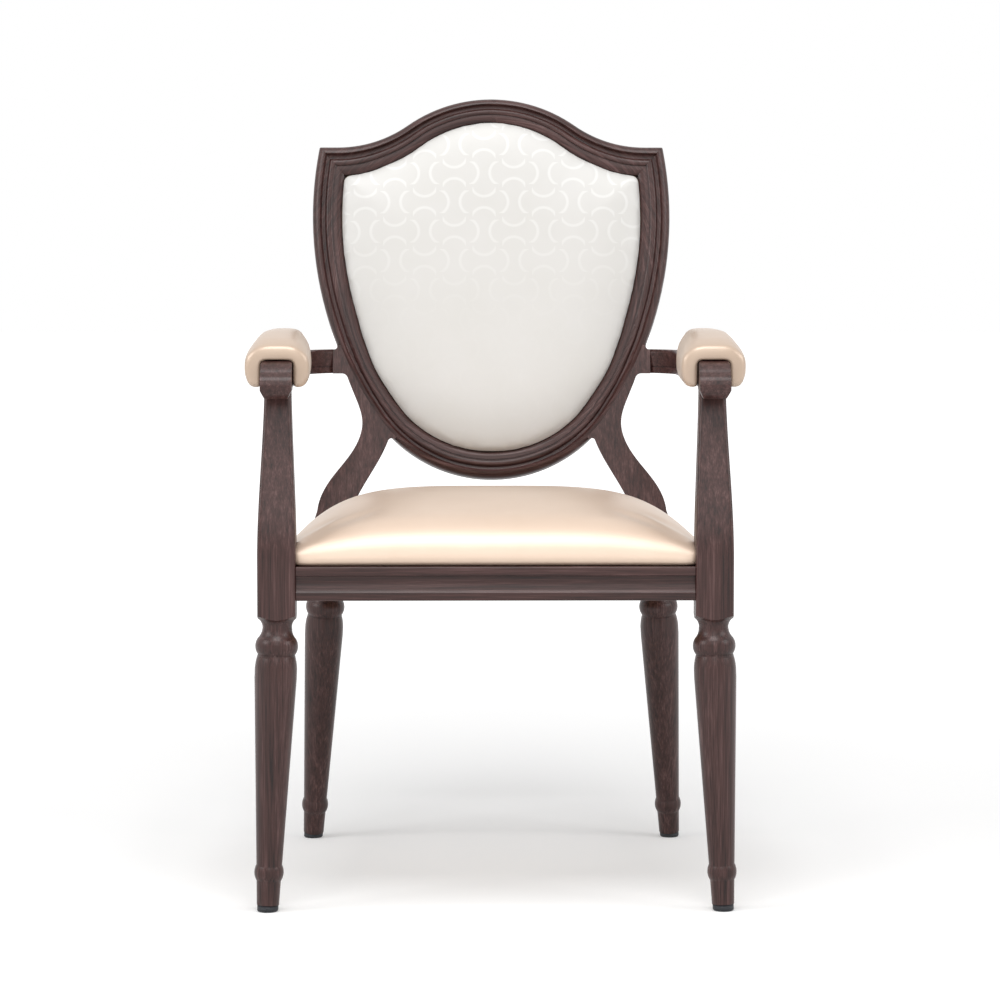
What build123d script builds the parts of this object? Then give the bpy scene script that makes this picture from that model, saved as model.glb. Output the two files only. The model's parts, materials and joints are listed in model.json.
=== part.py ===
from build123d import *

import os
from math import asin, atan2, cos, degrees, hypot, pi, radians, sin, sqrt

# Shield-back armchair in wood-look aluminium, with an upholstered seat, back and arm pads.
# Millimetres, +Z up, the sitter faces -Y, left and right as seen from the front.

# Seat frame
RAIL_TOP = 408.5
RAIL_HEIGHT = 40.0
RAIL_DEPTH = 26.0
RAIL_BAND = 10.5
RAIL_COVE = 5.0
RAIL_LIP = 1.0
RAIL_QUIRK = 0.5
RAIL_EDGE = 2.0
RAIL_SETBACK = 4.0
TUBE_WALL = 2.5
BRACKET_THICKNESS = 3.0
BRACKET_REACH = 70.0

# Front legs, posts and arms
FRONT_X = 256.5
FRONT_Y = -272.0
POST_WIDTH = 45.0
POST_DEPTH = 44.0
POST_CORNER = 4.5
POST_TOP_WIDTH = 31.0
POST_TOP_DEPTH = 29.0
POST_SWEEP = 41.0
POST_STRAIGHT = 6.5
POST_SECTIONS = 8
FRONT_SPLAY = 12.5
FRONT_LEAN = -7.0
NECK_Z = 334.0

# Rear legs and blocks
REAR_X = 216.5
REAR_Y = 173.0
BLOCK_SIZE = 42.0
REAR_SPLAY = 20.5
REAR_LEAN = 65.0

# Turned leg
NECK_RADIUS = 17.6
BEAD_RADIUS = 25.2
GROOVE_RADIUS = 21.9
LEG_TOP_RADIUS = 24.9
LEG_LOW_RADIUS = 15.2
SHOULDER_DROP = 46.0
SHOULDER_HEIGHT = 12.0
BEAD_TOP_RADIUS = 22.4
BEAD_DROP_LOW = 30.0
BEAD_DROP_HIGH = 11.0
RING_RADIUS = 17.3
RING_Z = 46.0
RING_HALF_HEIGHT = 9.5
OGEE_HEIGHT = 18.0
OGEE_TURN_HEIGHT = 13.0
OGEE_TURN_OUT = 6.0
FOOT_TOP_RADIUS = 14.4
FOOT_RADIUS = 13.2
GLIDE_HEIGHT = 8.0
GLIDE_RADIUS = 12.5
GLIDE_STEM = 22.0
FOOT_BORE = 9.0
PLUG_RADIUS = 11.8
PLUG_REACH = 28.0
SLIP = 0.2

# Arms
ARM_TOP = 649.0
ARM_HEIGHT = 31.0
ARM_WIDTH = 36.5
ARM_EDGE = 5.0
ARM_END_WIDTH = 19.0
ARM_OUTER_TURN = 105.0
ARM_INNER_TURN = 62.0
ARM_LINE = 8.0
ARM_LINE_DEPTH = 1.2
ARM_LINE_WIDTH = 1.6
ROLL_RADIUS = 15.2
ROLL_FRONT = -291.5
SCROLL_SLOPE = 26.0
SCROLL_CROWN = 2.6

# Arm pads
PAD_WIDTH = 78.0
PAD_REAR_WIDTH = 62.0
PAD_RISE = 34.0
PAD_CROWN = 4.0
PAD_SHOULDER = 15.0
PAD_HANG = 32.0
PAD_FRONT = -263.0
PAD_LENGTH = 215.0
PAD_END_RADIUS = 20.0
PAD_CORNER = 12.0
PAD_BULGE = 1.5
FLAP_ROUND = 8.0
PAD_BOARD = 6.0
PAD_BOARD_WIDTH = 32.0
PAD_SCREW_INSET = 55.0

# Back frame: a leaning plane, with heights along it from its crossing of the seat's crown
BACK_LEAN = 10.5
BACK_Y = 176.0
BACK_Z = 480.0
SHIELD_BOTTOM = 2.5
SHIELD_HALF_WIDTH = 235.0
BOTTOM_RADIUS = 184.0
SIDE_RADIUS = 478.0
EAR_TOP = 443.0
EAR_FLAT = 203.0
EAR_CORNER = 5.0
CREST_TOP = 508.0
CREST_RADIUS = 190.0

# Moulding of the shield, from its outer edge inward
FRAME_WIDTH = 38.0
FRAME_DEPTH = 28.0
EDGE_ROUND = 12.0
OUTER_BAND = 9.5
COVE_WIDTH = 7.0
COVE_DEPTH = 6.0
BEAD_WIDTH = 9.0
BEAD_DROP = 2.2
BEAD_FALL = 1.2
BAND_STEP = 1.0
BAND_STEP_DEPTH = 1.4
LINE_WIDTH = 2.0
LINE_DEPTH = 4.8
INNER_DROP = 3.2
INNER_CROWN = 0.4
INNER_ROUND = 3.0
FRAME_WALL = 3.0
FLANGE_SET = 14.0
FLANGE_THICKNESS = 3.0
FLANGE_REACH = 9.0

# Back posts. The curves of their two edges are shares across and up between the ends of each run.
STRUT_FRONT = 2.0
STRUT_DEPTH = 25.0
STRUT_FOOT = -40.0
STRUT_FOOT_WIDTH = 44.5
STRUT_FOOT_SET = 11.0
STRUT_WAIST = 22.0
STRUT_WAIST_RISE = 76.0
STRUT_OUTER_CURVE = ((0.30, 0.353), (0.815, 0.698))
STRUT_NECK_CURVE = (0.351, 0.451)
STRUT_INNER_CURVE = ((0.34, 0.40), (0.62, 0.63))
CROTCH_RISE = 66.0
CROTCH_SINK = 8.0
CROTCH_ROUND = 5.0
LUG_ROOT = 4.5
LUG_REACH = 8.0
LUG_CORNER = 8.0
LUG_TOP_ROUND = 0.6

# Upholstery
LEATHER = 1.2
FOAM_GAP = 0.3
FIT_GAP = 0.6
SEAT_BOARD = 12.0
SEAT_BOARD_INSET = 7.0
SEAT_FOAM_SHARE = 0.41
SEAT_FOAM_INSET = 52.0
SEAT_RISE = 76.5
SEAT_FULLNESS = 1.7
SEAT_SLOPE_REACH = 190.0
SEAT_FRONT = -286.0
SEAT_REAR = 178.0
SEAT_SIDE_INSET = 12.0
SEAT_CORNER = 46.0
SEAT_TURN_UNDER = 14.0
SEAT_DRAW_IN = 4.0
SEAT_TUCK = 9.0
POST_NOTCH = 1.0
STRUT_NOTCH = 9.0
BACK_BOARD = 5.0
BACK_FOAM = 12.0
BACK_FOAM_INSET = 30.0
BACK_CROWN = 13.0
BACK_FULLNESS = 2.2
BACK_EDGE = 4.0
BACK_SLOPE_REACH = 95.0
BACK_PAD_CORNER = 10.0
REAR_BOARD = 4.0
REAR_CROWN = 7.0
REAR_FULLNESS = 2.2
REAR_EDGE = 1.5
REAR_SLOPE_REACH = 40.0
CROWN_SECTIONS = 8
CROWN_EASE = 1.5
CORNER_GROWTH = 0.35
CORNER_LIMIT = 0.42

# Screws
SCREW_RADIUS = 2.2
SCREW_HEAD = 4.2
SCREW_HEAD_HEIGHT = 2.2
SCREW_BITE = 7.0
BACK_SCREW_ANGLES = (2.0, -14.0, -30.0)

nodes = {}


def add(name, shape):
    """Keep a piece under its node name."""
    nodes[name] = shape


def add_pair(name, right):
    """Keep a piece of the right-hand side and its mirror image on the left."""
    add(f"{name}_right", right)
    add(f"{name}_left", mirror(right, about=Plane.YZ))


def smooth(t):
    """Ease from 0 to 1 with level ends."""
    t = min(max(t, 0.0), 1.0)
    return t * t * (3 - 2 * t)


def slab(low, high):
    """Box between two corners."""
    size = [b - a for a, b in zip(low, high)]
    return Pos(*low) * Box(*size, align=(Align.MIN, Align.MIN, Align.MIN))


def screw(length):
    """Round-head screw along +Z with its head's seat at the origin."""
    head = Cylinder(SCREW_HEAD, SCREW_HEAD_HEIGHT, align=(Align.CENTER, Align.CENTER, Align.MAX))
    shank = Cylinder(SCREW_RADIUS, length, align=(Align.CENTER, Align.CENTER, Align.MIN))
    return head + shank


def screw_hole(length):
    """Clearance hole for a screw along +Z from the origin."""
    return Cylinder(SCREW_RADIUS + SLIP, length, align=(Align.CENTER, Align.CENTER, Align.MIN))


# Turned legs, with their glides and plugs


def leg_solid(length):
    """Hollow turned leg along +Z, from the floor end of its axis to just past its neck."""
    end = length + NECK_RADIUS
    bead_low = length - BEAD_DROP_LOW
    bead_high = length - BEAD_DROP_HIGH
    bead_middle = (bead_low + bead_high) / 2
    neck_middle = (bead_high + length) / 2
    shoulder = length - SHOULDER_DROP
    shoulder_low = shoulder - SHOULDER_HEIGHT
    shoulder_middle = (shoulder + bead_low) / 2
    ring_low = RING_Z - RING_HALF_HEIGHT
    ring_high = RING_Z + RING_HALF_HEIGHT
    round_radius = (2 * LEG_TOP_RADIUS + GROOVE_RADIUS) / 3
    hollow_radius = (3 * NECK_RADIUS + BEAD_TOP_RADIUS) / 4
    skin = [
        Polyline((FOOT_BORE, GLIDE_HEIGHT), (FOOT_RADIUS, GLIDE_HEIGHT), (FOOT_TOP_RADIUS, ring_low)),
        ThreePointArc((FOOT_TOP_RADIUS, ring_low), (RING_RADIUS, RING_Z), (LEG_LOW_RADIUS, ring_high)),
        Polyline((LEG_LOW_RADIUS, ring_high), (LEG_TOP_RADIUS, shoulder_low), (LEG_TOP_RADIUS, shoulder)),
        ThreePointArc((LEG_TOP_RADIUS, shoulder), (round_radius, shoulder_middle), (GROOVE_RADIUS, bead_low)),
        ThreePointArc((GROOVE_RADIUS, bead_low), (BEAD_RADIUS, bead_middle), (BEAD_TOP_RADIUS, bead_high)),
        ThreePointArc((BEAD_TOP_RADIUS, bead_high), (hollow_radius, neck_middle), (NECK_RADIUS, length)),
        Polyline((NECK_RADIUS, length), (NECK_RADIUS, end), (PLUG_RADIUS + SLIP, end)),
    ]
    bore = Polyline(
        (PLUG_RADIUS + SLIP, end),
        (PLUG_RADIUS + SLIP, length - PLUG_REACH - SLIP),
        (LEG_TOP_RADIUS - TUBE_WALL, shoulder_low),
        (LEG_LOW_RADIUS - TUBE_WALL, ring_high + TUBE_WALL),
        (FOOT_BORE, GLIDE_HEIGHT + GLIDE_STEM + TUBE_WALL),
        (FOOT_BORE, GLIDE_HEIGHT),
    )
    return revolve(Plane.XZ * make_face(skin + [bore]), Axis.Z)


def leg_axis(x, y, splay, lean):
    """Place of a leg's neck, its Z up the leg, where the foot lands off the neck by splay and lean."""
    return Plane(origin=(x, y, NECK_Z), x_dir=(1, 0, 0), z_dir=(-splay, -lean, NECK_Z)).location


def leg_group(x, y, splay, lean):
    """One leg, its glide and the plug in its neck."""
    axis = leg_axis(x, y, splay, lean)
    length = hypot(splay, lean, NECK_Z)
    foot = axis * Pos(0, 0, -length)
    below = slab((x - NECK_Z, y - NECK_Z, 0), (x + NECK_Z, y + NECK_Z, NECK_Z))
    leg = (foot * leg_solid(length)) & below

    disc = Cylinder(GLIDE_RADIUS, 2 * GLIDE_HEIGHT)
    stem_length = GLIDE_HEIGHT + GLIDE_STEM
    stem = Cylinder(FOOT_BORE - SLIP, stem_length, align=(Align.CENTER, Align.CENTER, Align.MIN))
    glide = (foot * (disc + stem)) & below
    sole = glide.faces().sort_by(Axis.Z)[0]
    glide = chamfer(sole.edges(), GLIDE_HEIGHT / 5)

    return leg, glide, axis * Cylinder(PLUG_RADIUS, 2 * PLUG_REACH)


front_leg, front_glide, front_plug = leg_group(FRONT_X, FRONT_Y, FRONT_SPLAY, FRONT_LEAN)
rear_leg, rear_glide, rear_plug = leg_group(REAR_X, REAR_Y, REAR_SPLAY, REAR_LEAN)
add_pair("front_leg", front_leg)
add_pair("rear_leg", rear_leg)
add_pair("foot_glide_front", front_glide)
add_pair("foot_glide_rear", rear_glide)
plugs = [front_plug, rear_plug]
add("leg_plugs", Compound(plugs + [mirror(plug, about=Plane.YZ) for plug in plugs]))


def turned_end(x, y, splay, lean, top):
    """Envelope that brings a square block down to its leg's round neck in an ogee, bored for the plug."""
    reach = 2 * NECK_RADIUS
    turn = (NECK_RADIUS + OGEE_TURN_OUT, NECK_Z + OGEE_TURN_HEIGHT)
    ogee_top = (reach, NECK_Z + OGEE_HEIGHT)
    cove_middle = (NECK_RADIUS + OGEE_TURN_OUT / 4, NECK_Z + OGEE_TURN_HEIGHT * 2 / 3)
    round_middle = ((turn[0] + reach) / 2, NECK_Z + (OGEE_TURN_HEIGHT + 2 * OGEE_HEIGHT) / 3)
    outline = [
        Polyline((NECK_RADIUS, NECK_Z), (0, NECK_Z), (0, top), (reach, top), ogee_top),
        ThreePointArc((NECK_RADIUS, NECK_Z), cove_middle, turn),
        ThreePointArc(turn, round_middle, ogee_top),
    ]
    plug_bore = leg_axis(x, y, splay, lean) * Cylinder(PLUG_RADIUS + SLIP, 2 * (PLUG_REACH + SLIP))
    return Pos(x, y, 0) * revolve(Plane.XZ * make_face(outline), Axis.Z) - plug_bore


# Front posts, square at the rails, then sweeping back and tapering up to the arms

ARM_BOTTOM = ARM_TOP - ARM_HEIGHT
ARM_MIDDLE = ARM_TOP - ARM_HEIGHT / 2
RAIL_BOTTOM = RAIL_TOP - RAIL_HEIGHT
POST_TAPER_Z = RAIL_TOP + POST_STRAIGHT


def post_ease(z):
    """Share of the post's sweep and taper that is reached at a height."""
    return smooth((z - POST_TAPER_Z) / (ARM_MIDDLE - POST_TAPER_Z))


def post_section(z, wall):
    """Rounded rectangle of the front post at a height, inside a wall."""
    share = post_ease(z)
    width = POST_WIDTH + (POST_TOP_WIDTH - POST_WIDTH) * share - 2 * wall
    depth = POST_DEPTH + (POST_TOP_DEPTH - POST_DEPTH) * share - 2 * wall
    corner = max(POST_CORNER - wall, 1.0)
    return Pos(FRONT_X, FRONT_Y + POST_SWEEP * share, z) * RectangleRounded(width, depth, corner)


def post_loft(bottom, wall):
    """Swept and tapered post from a height up to the underside of the arm."""
    step = (ARM_BOTTOM - bottom) / (POST_SECTIONS - 1)
    return loft([post_section(bottom + step * i, wall) for i in range(POST_SECTIONS)])


post_base = extrude(post_section(NECK_Z, 0), RAIL_TOP - NECK_Z)
post_base = post_base & turned_end(FRONT_X, FRONT_Y, FRONT_SPLAY, FRONT_LEAN, RAIL_TOP)
arm_post = post_base + post_loft(RAIL_TOP, 0) - post_loft(RAIL_TOP + TUBE_WALL, TUBE_WALL)
add_pair("arm_post", arm_post)

# Seat rails, moulded tubes between the posts

POST_INNER_X = FRONT_X - POST_WIDTH / 2
POST_REAR_Y = FRONT_Y + POST_DEPTH / 2
RAIL_FRONT_Y = FRONT_Y - POST_DEPTH / 2 + RAIL_SETBACK
BLOCK_INNER_X = REAR_X - BLOCK_SIZE / 2
BLOCK_FRONT_Y = REAR_Y - BLOCK_SIZE / 2
RAIL_REAR_Y = REAR_Y + RAIL_DEPTH / 2
SIDE_FRONT_X = FRONT_X + POST_WIDTH / 2 - RAIL_SETBACK
SIDE_REAR_X = REAR_X + BLOCK_SIZE / 2 - RAIL_SETBACK
SIDE_SLOPE = (SIDE_REAR_X - SIDE_FRONT_X) / (BLOCK_FRONT_Y - POST_REAR_Y)
SIDE_TURN = atan2(-SIDE_SLOPE, 1)
SEAT_CROWN = RAIL_TOP + SEAT_RISE
STRUT_OUTER_X = REAR_X + STRUT_FOOT_SET
STRUT_INNER_X = STRUT_OUTER_X - STRUT_FOOT_WIDTH


def side_x(y, depth):
    """Where the side rail lies at a place along it, a depth in from its outer face."""
    return SIDE_FRONT_X + (y - POST_REAR_Y) * SIDE_SLOPE - depth / cos(SIDE_TURN)


def rail_section(inward):
    """Section of a rail with its outer face on the line x = 0, its body towards inward."""
    depth = inward * RAIL_DEPTH
    cove = inward * RAIL_COVE
    top_band = RAIL_HEIGHT - RAIL_BAND
    low_band = RAIL_BAND - RAIL_LIP
    lip = (inward * RAIL_LIP, RAIL_BAND)
    quirk = (0.9 * cove, top_band - RAIL_QUIRK)
    outline = [
        Polyline((0, low_band), (0, 0), (depth, 0), (depth, RAIL_HEIGHT), (0, RAIL_HEIGHT), (0, top_band)),
        Line((0, top_band), quirk),
        ThreePointArc(quirk, (cove, 0.55 * RAIL_HEIGHT), lip),
        Line(lip, (0, low_band)),
    ]
    face = make_face(outline)
    edges = [v for v in face.vertices() if v.X == 0 and v.Y in (0, RAIL_HEIGHT)]
    face = fillet(edges, RAIL_EDGE)
    hollow_depth = RAIL_DEPTH - RAIL_COVE - 2 * TUBE_WALL
    hollow = Rectangle(hollow_depth, RAIL_HEIGHT - 2 * TUBE_WALL)
    centre = inward * (RAIL_COVE + TUBE_WALL + hollow_depth / 2)
    return face - Pos(centre, RAIL_HEIGHT / 2) * hollow


def cross_rail(face_y, inward, half_span):
    """Rail across the chair, its outer face at face_y."""
    section = Plane((0, face_y, RAIL_BOTTOM), x_dir=(0, 1, 0), z_dir=(1, 0, 0)) * rail_section(inward)
    return extrude(section, half_span, both=True)


add("front_rail", cross_rail(RAIL_FRONT_Y, 1, POST_INNER_X))
add("rear_rail", cross_rail(RAIL_REAR_Y, -1, BLOCK_INNER_X))

side_middle_y = (POST_REAR_Y + BLOCK_FRONT_Y) / 2
side_middle = Vector(side_x(side_middle_y, 0), side_middle_y, RAIL_BOTTOM)
side_run = Vector(-sin(SIDE_TURN), cos(SIDE_TURN), 0)
side_plane = Plane(side_middle, x_dir=(cos(SIDE_TURN), sin(SIDE_TURN), 0), z_dir=side_run * -1)
side_rail = extrude(side_plane * rail_section(-1), BLOCK_FRONT_Y - POST_REAR_Y, both=True)
side_span = slab((0, POST_REAR_Y, 0), (2 * FRONT_X, BLOCK_FRONT_Y, RAIL_TOP))
add_pair("side_rail", side_rail & side_span)

# Corner brackets, plates that brace the seat frame and take the seat screws

RAIL_INNER_Y = RAIL_FRONT_Y + RAIL_DEPTH
REAR_INNER_Y = RAIL_REAR_Y - RAIL_DEPTH


def bracket(corner_x, rail_y, post_y, reach):
    """Plate between a cross rail, a side rail and the post in their corner, with a screw hole."""
    far_y = post_y + reach
    points = [
        (corner_x - abs(reach), rail_y),
        (corner_x, rail_y),
        (corner_x, post_y),
        (side_x(post_y, RAIL_DEPTH), post_y),
        (side_x(far_y, RAIL_DEPTH), far_y),
    ]
    plate = make_face(Polyline(*points, close=True))
    hole = Vector(corner_x - abs(reach) / 3, post_y + reach / 3)
    plate = extrude(plate, BRACKET_THICKNESS) - Pos(hole.X, hole.Y, 0) * screw_hole(BRACKET_THICKNESS)
    return Pos(0, 0, RAIL_TOP - BRACKET_THICKNESS) * plate, hole


front_bracket, front_hole = bracket(POST_INNER_X, RAIL_INNER_Y, POST_REAR_Y, BRACKET_REACH)
rear_bracket, rear_hole = bracket(BLOCK_INNER_X, REAR_INNER_Y, BLOCK_FRONT_Y, -BRACKET_REACH)
add_pair("corner_bracket_front", front_bracket)
add_pair("corner_bracket_rear", rear_bracket)
seat_holes = [Vector(side * hole.X, hole.Y) for hole in (front_hole, rear_hole) for side in (1, -1)]
seat_screw_length = BRACKET_THICKNESS + LEATHER + SCREW_BITE
seat_screw_seat = RAIL_TOP - BRACKET_THICKNESS
add("seat_screws", Compound([Pos(h.X, h.Y, seat_screw_seat) * screw(seat_screw_length) for h in seat_holes]))

# Seat cushion: board, foam and a leather cover that is turned under the board


def seat_plan(inset):
    """Plan of the cushion drawn in by an inset, its sides in line with the side rails."""
    front = SEAT_FRONT + inset
    rear = SEAT_REAR - inset
    edge = SEAT_SIDE_INSET + inset
    points = [
        (side_x(front, edge), front),
        (side_x(rear, edge), rear),
        (-side_x(rear, edge), rear),
        (-side_x(front, edge), front),
    ]
    plan = make_face(Polyline(*points, close=True))
    corner = min(SEAT_CORNER + CORNER_GROWTH * inset, CORNER_LIMIT * (rear - front))
    return fillet(plan.vertices(), corner)


def seat_notches(gap):
    """Room for the four posts at the corners of the cushion."""
    front_low = (POST_INNER_X - gap, SEAT_FRONT - POST_DEPTH, 0)
    front = slab(front_low, (2 * FRONT_X, POST_REAR_Y + gap, 2 * SEAT_CROWN))
    rear_low = (STRUT_INNER_X - STRUT_NOTCH - gap, BLOCK_FRONT_Y - gap, 0)
    rear = slab(rear_low, (2 * REAR_X, SEAT_REAR + POST_DEPTH, 2 * SEAT_CROWN))
    right = front + rear
    return right + mirror(right, about=Plane.YZ)


def seat_slice(inset, low, high):
    """Flat slice of the cushion's plan drawn in by an inset, cut out round the posts."""
    return Pos(0, 0, low) * extrude(seat_plan(inset), high - low) - seat_notches(POST_NOTCH + inset)


def crown_steps(reach, rise, fullness):
    """Insets and heights up the slope of a cushion, steep at its edge and level at its crown."""
    shares = [(i / CROWN_SECTIONS) ** CROWN_EASE for i in range(CROWN_SECTIONS + 1)]
    return [(reach * s, rise * (1 - (1 - s) ** fullness) ** (1 / fullness)) for s in shares]


def seat_form():
    """Crowned cushion, its lower edge drawn in above the rails."""
    tuck = RAIL_TOP + SEAT_TUCK
    sections = [Pos(0, 0, RAIL_TOP) * seat_plan(SEAT_DRAW_IN)]
    for inset, rise in crown_steps(SEAT_SLOPE_REACH, SEAT_CROWN - tuck, SEAT_FULLNESS):
        sections.append(Pos(0, 0, tuck + rise) * seat_plan(inset))
    return loft(sections, ruled=True) - seat_notches(POST_NOTCH)


board_bottom = RAIL_TOP + LEATHER
foam_bottom = board_bottom + SEAT_BOARD
foam_top = foam_bottom + SEAT_FOAM_SHARE * (SEAT_CROWN - foam_bottom)
board_room = seat_slice(SEAT_BOARD_INSET - FOAM_GAP, board_bottom, foam_bottom)
foam_room = seat_slice(SEAT_FOAM_INSET - FOAM_GAP, foam_bottom, foam_top + FOAM_GAP)
under_room = seat_slice(SEAT_TURN_UNDER, 0, board_bottom)
add("seat_cover", seat_form() - (board_room + foam_room + under_room))
seat_board = seat_slice(SEAT_BOARD_INSET, board_bottom, foam_bottom)
add("seat_board", seat_board - [Pos(h.X, h.Y, board_bottom) * screw_hole(SCREW_BITE) for h in seat_holes])
add("seat_foam", seat_slice(SEAT_FOAM_INSET, foam_bottom, foam_top))

# Shield back. Its outline is drawn on the leaning plane of the back, as tangent arcs.

back_normal = (0, -cos(radians(BACK_LEAN)), sin(radians(BACK_LEAN)))
BACK = Plane((0, BACK_Y, BACK_Z), x_dir=(1, 0, 0), z_dir=back_normal)
bottom_centre = (0, SHIELD_BOTTOM + BOTTOM_RADIUS)
side_centre_x = SHIELD_HALF_WIDTH - SIDE_RADIUS
side_rise = sqrt((SIDE_RADIUS - BOTTOM_RADIUS) ** 2 - side_centre_x**2)
side_centre = (side_centre_x, bottom_centre[1] + side_rise)
crest_rise = CREST_TOP - EAR_TOP
hollow_radius = (EAR_FLAT**2 + crest_rise**2) / (2 * crest_rise) - CREST_RADIUS
crest_centre = (0, CREST_TOP - CREST_RADIUS)
hollow_centre = (EAR_FLAT, EAR_TOP + hollow_radius)
side_start = atan2(-side_rise, -side_centre_x)
crest_end = atan2(hollow_centre[1] - crest_centre[1], EAR_FLAT)


def sector(centre, radius, start, end):
    """Arc about a centre between two angles in radians."""
    return CenterArc(centre, radius, degrees(start), degrees(end - start))


def hoop_edge(y):
    """Where the shield's outer edge lies at a height below its ears."""
    if y < bottom_centre[1] + BOTTOM_RADIUS * sin(side_start):
        return sqrt(BOTTOM_RADIUS**2 - (y - bottom_centre[1]) ** 2)
    return side_centre[0] + sqrt(SIDE_RADIUS**2 - (y - side_centre[1]) ** 2)


def flipped(edges):
    """The mirror images of edges across the middle of the back."""
    return [mirror(edge, about=Plane.YZ) for edge in edges]


def ear_point(inset):
    """Corner of the outline drawn in by an inset, and whether the level run reaches it."""
    side = SIDE_RADIUS - inset
    hollow = hollow_radius + inset
    level = EAR_TOP - inset
    level_x = side_centre[0] + sqrt(side**2 - (level - side_centre[1]) ** 2)
    if level_x > EAR_FLAT:
        return (level_x, level), True
    gap_x = hollow_centre[0] - side_centre[0]
    gap_y = hollow_centre[1] - side_centre[1]
    gap = hypot(gap_x, gap_y)
    along = (side**2 - hollow**2 + gap**2) / (2 * gap)
    across = sqrt(side**2 - along**2)
    x = side_centre[0] + (along * gap_x + across * gap_y) / gap
    y = side_centre[1] + (along * gap_y - across * gap_x) / gap
    return (x, y), False


def shield_face(inset, corner=0):
    """Face inside the shield's outline drawn in by an inset, its ears rounded."""
    (ear_x, ear_y), level = ear_point(inset)
    side_end = atan2(ear_y - side_centre[1], ear_x - side_centre[0])
    hollow_start = -pi / 2 if level else atan2(ear_y - hollow_centre[1], ear_x - hollow_centre[0])
    half = [
        sector(side_centre, SIDE_RADIUS - inset, side_start, side_end),
        sector(hollow_centre, hollow_radius + inset, crest_end - pi, hollow_start),
    ]
    if level:
        half.append(Line((ear_x, ear_y), (EAR_FLAT, ear_y)))
    middle = [
        sector(bottom_centre, BOTTOM_RADIUS - inset, -pi - side_start, side_start),
        sector(crest_centre, CREST_RADIUS - inset, crest_end, pi - crest_end),
    ]
    face = make_face(half + flipped(half) + middle)
    if corner:
        ears = [v for v in face.vertices() if hypot(abs(v.X) - ear_x, v.Y - ear_y) < SLIP]
        face = fillet(ears, corner)
    return face


def moulding():
    """Section of the shield's frame: x runs inward from its outer edge, y towards the front."""
    cove = OUTER_BAND + COVE_WIDTH
    line = cove + BEAD_WIDTH
    band = line + LINE_WIDTH
    bead_end = BEAD_DROP + BEAD_FALL
    step = (OUTER_BAND + BAND_STEP, -BAND_STEP_DEPTH)
    edge_middle = ((1 - sqrt(0.5)) * OUTER_BAND, (sqrt(0.5) - 1) * EDGE_ROUND)
    inner_middle = ((band + FRAME_WIDTH) / 2, -INNER_DROP - INNER_CROWN)
    flange = FRAME_WIDTH + FLANGE_REACH
    flange_back = FLANGE_SET + FLANGE_THICKNESS
    inner_edge = INNER_DROP + INNER_ROUND
    outline = [
        ThreePointArc((0, -EDGE_ROUND), edge_middle, (OUTER_BAND, 0)),
        Line((OUTER_BAND, 0), step),
        ThreePointArc(step, (OUTER_BAND + 0.45 * COVE_WIDTH, -0.9 * COVE_DEPTH), (cove, -COVE_DEPTH)),
        ThreePointArc((cove, -COVE_DEPTH), (cove + 0.42 * BEAD_WIDTH, -BEAD_DROP), (line, -bead_end)),
        Polyline((line, -bead_end), (line, -LINE_DEPTH), (band, -LINE_DEPTH), (band, -INNER_DROP)),
        ThreePointArc((band, -INNER_DROP), inner_middle, (FRAME_WIDTH, -inner_edge)),
        Polyline(
            (FRAME_WIDTH, -inner_edge),
            (FRAME_WIDTH, -FLANGE_SET),
            (flange, -FLANGE_SET),
            (flange, -flange_back),
            (FRAME_WIDTH, -flange_back),
            (FRAME_WIDTH, -FRAME_DEPTH),
            (FRAME_WALL, -FRAME_DEPTH),
            (0, FRAME_WALL - FRAME_DEPTH),
            (0, -EDGE_ROUND),
        ),
    ]
    return make_face(outline)


def moulding_hollow():
    """Bore of the frame's section."""
    width = FRAME_WIDTH - 2 * FRAME_WALL
    height = FRAME_DEPTH - COVE_DEPTH - 2 * FRAME_WALL
    return Pos(FRAME_WIDTH / 2, FRAME_WALL - FRAME_DEPTH + height / 2) * Rectangle(width, height)


def frame_section(origin, inward, hollow):
    """The frame's section at a point of its outer edge, square to that edge, hollow or full."""
    plane = Plane(origin, x_dir=inward, z_dir=inward.cross(Vector(0, 0, 1)))
    section = moulding()
    if hollow:
        section -= moulding_hollow()
    return plane * section


def frame_turn(centre, radius, start, end, towards, hollow=True):
    """Frame section turned about a centre; the shield lies towards the centre (1) or away from it (-1)."""
    spoke = Vector(cos(start), sin(start))
    section = frame_section(Vector(*centre) + spoke * radius, spoke * -towards, hollow)
    return revolve(section, Axis((*centre, 0), (0, 0, 1)), degrees(end - start))


outer_ear, _ = ear_point(0)
inner_ear, _ = ear_point(FRAME_WIDTH + FLANGE_REACH)
spare = FRAME_WIDTH + FRAME_DEPTH
ear_angle = asin((EAR_TOP - side_centre[1]) / SIDE_RADIUS)
half_hoop = frame_turn(bottom_centre, BOTTOM_RADIUS, -pi / 2, side_start, 1)
half_hoop += frame_turn(side_centre, SIDE_RADIUS, side_start, ear_angle + spare / SIDE_RADIUS, 1)
half_crest = frame_turn(crest_centre, CREST_RADIUS, crest_end, pi / 2, 1)
half_crest += frame_turn(hollow_centre, hollow_radius, crest_end - pi, -pi / 2, -1)
ear_section = frame_section(Vector(EAR_FLAT, EAR_TOP), Vector(0, -1), True)
half_crest += extrude(ear_section, EAR_FLAT - outer_ear[0] - spare)

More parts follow.
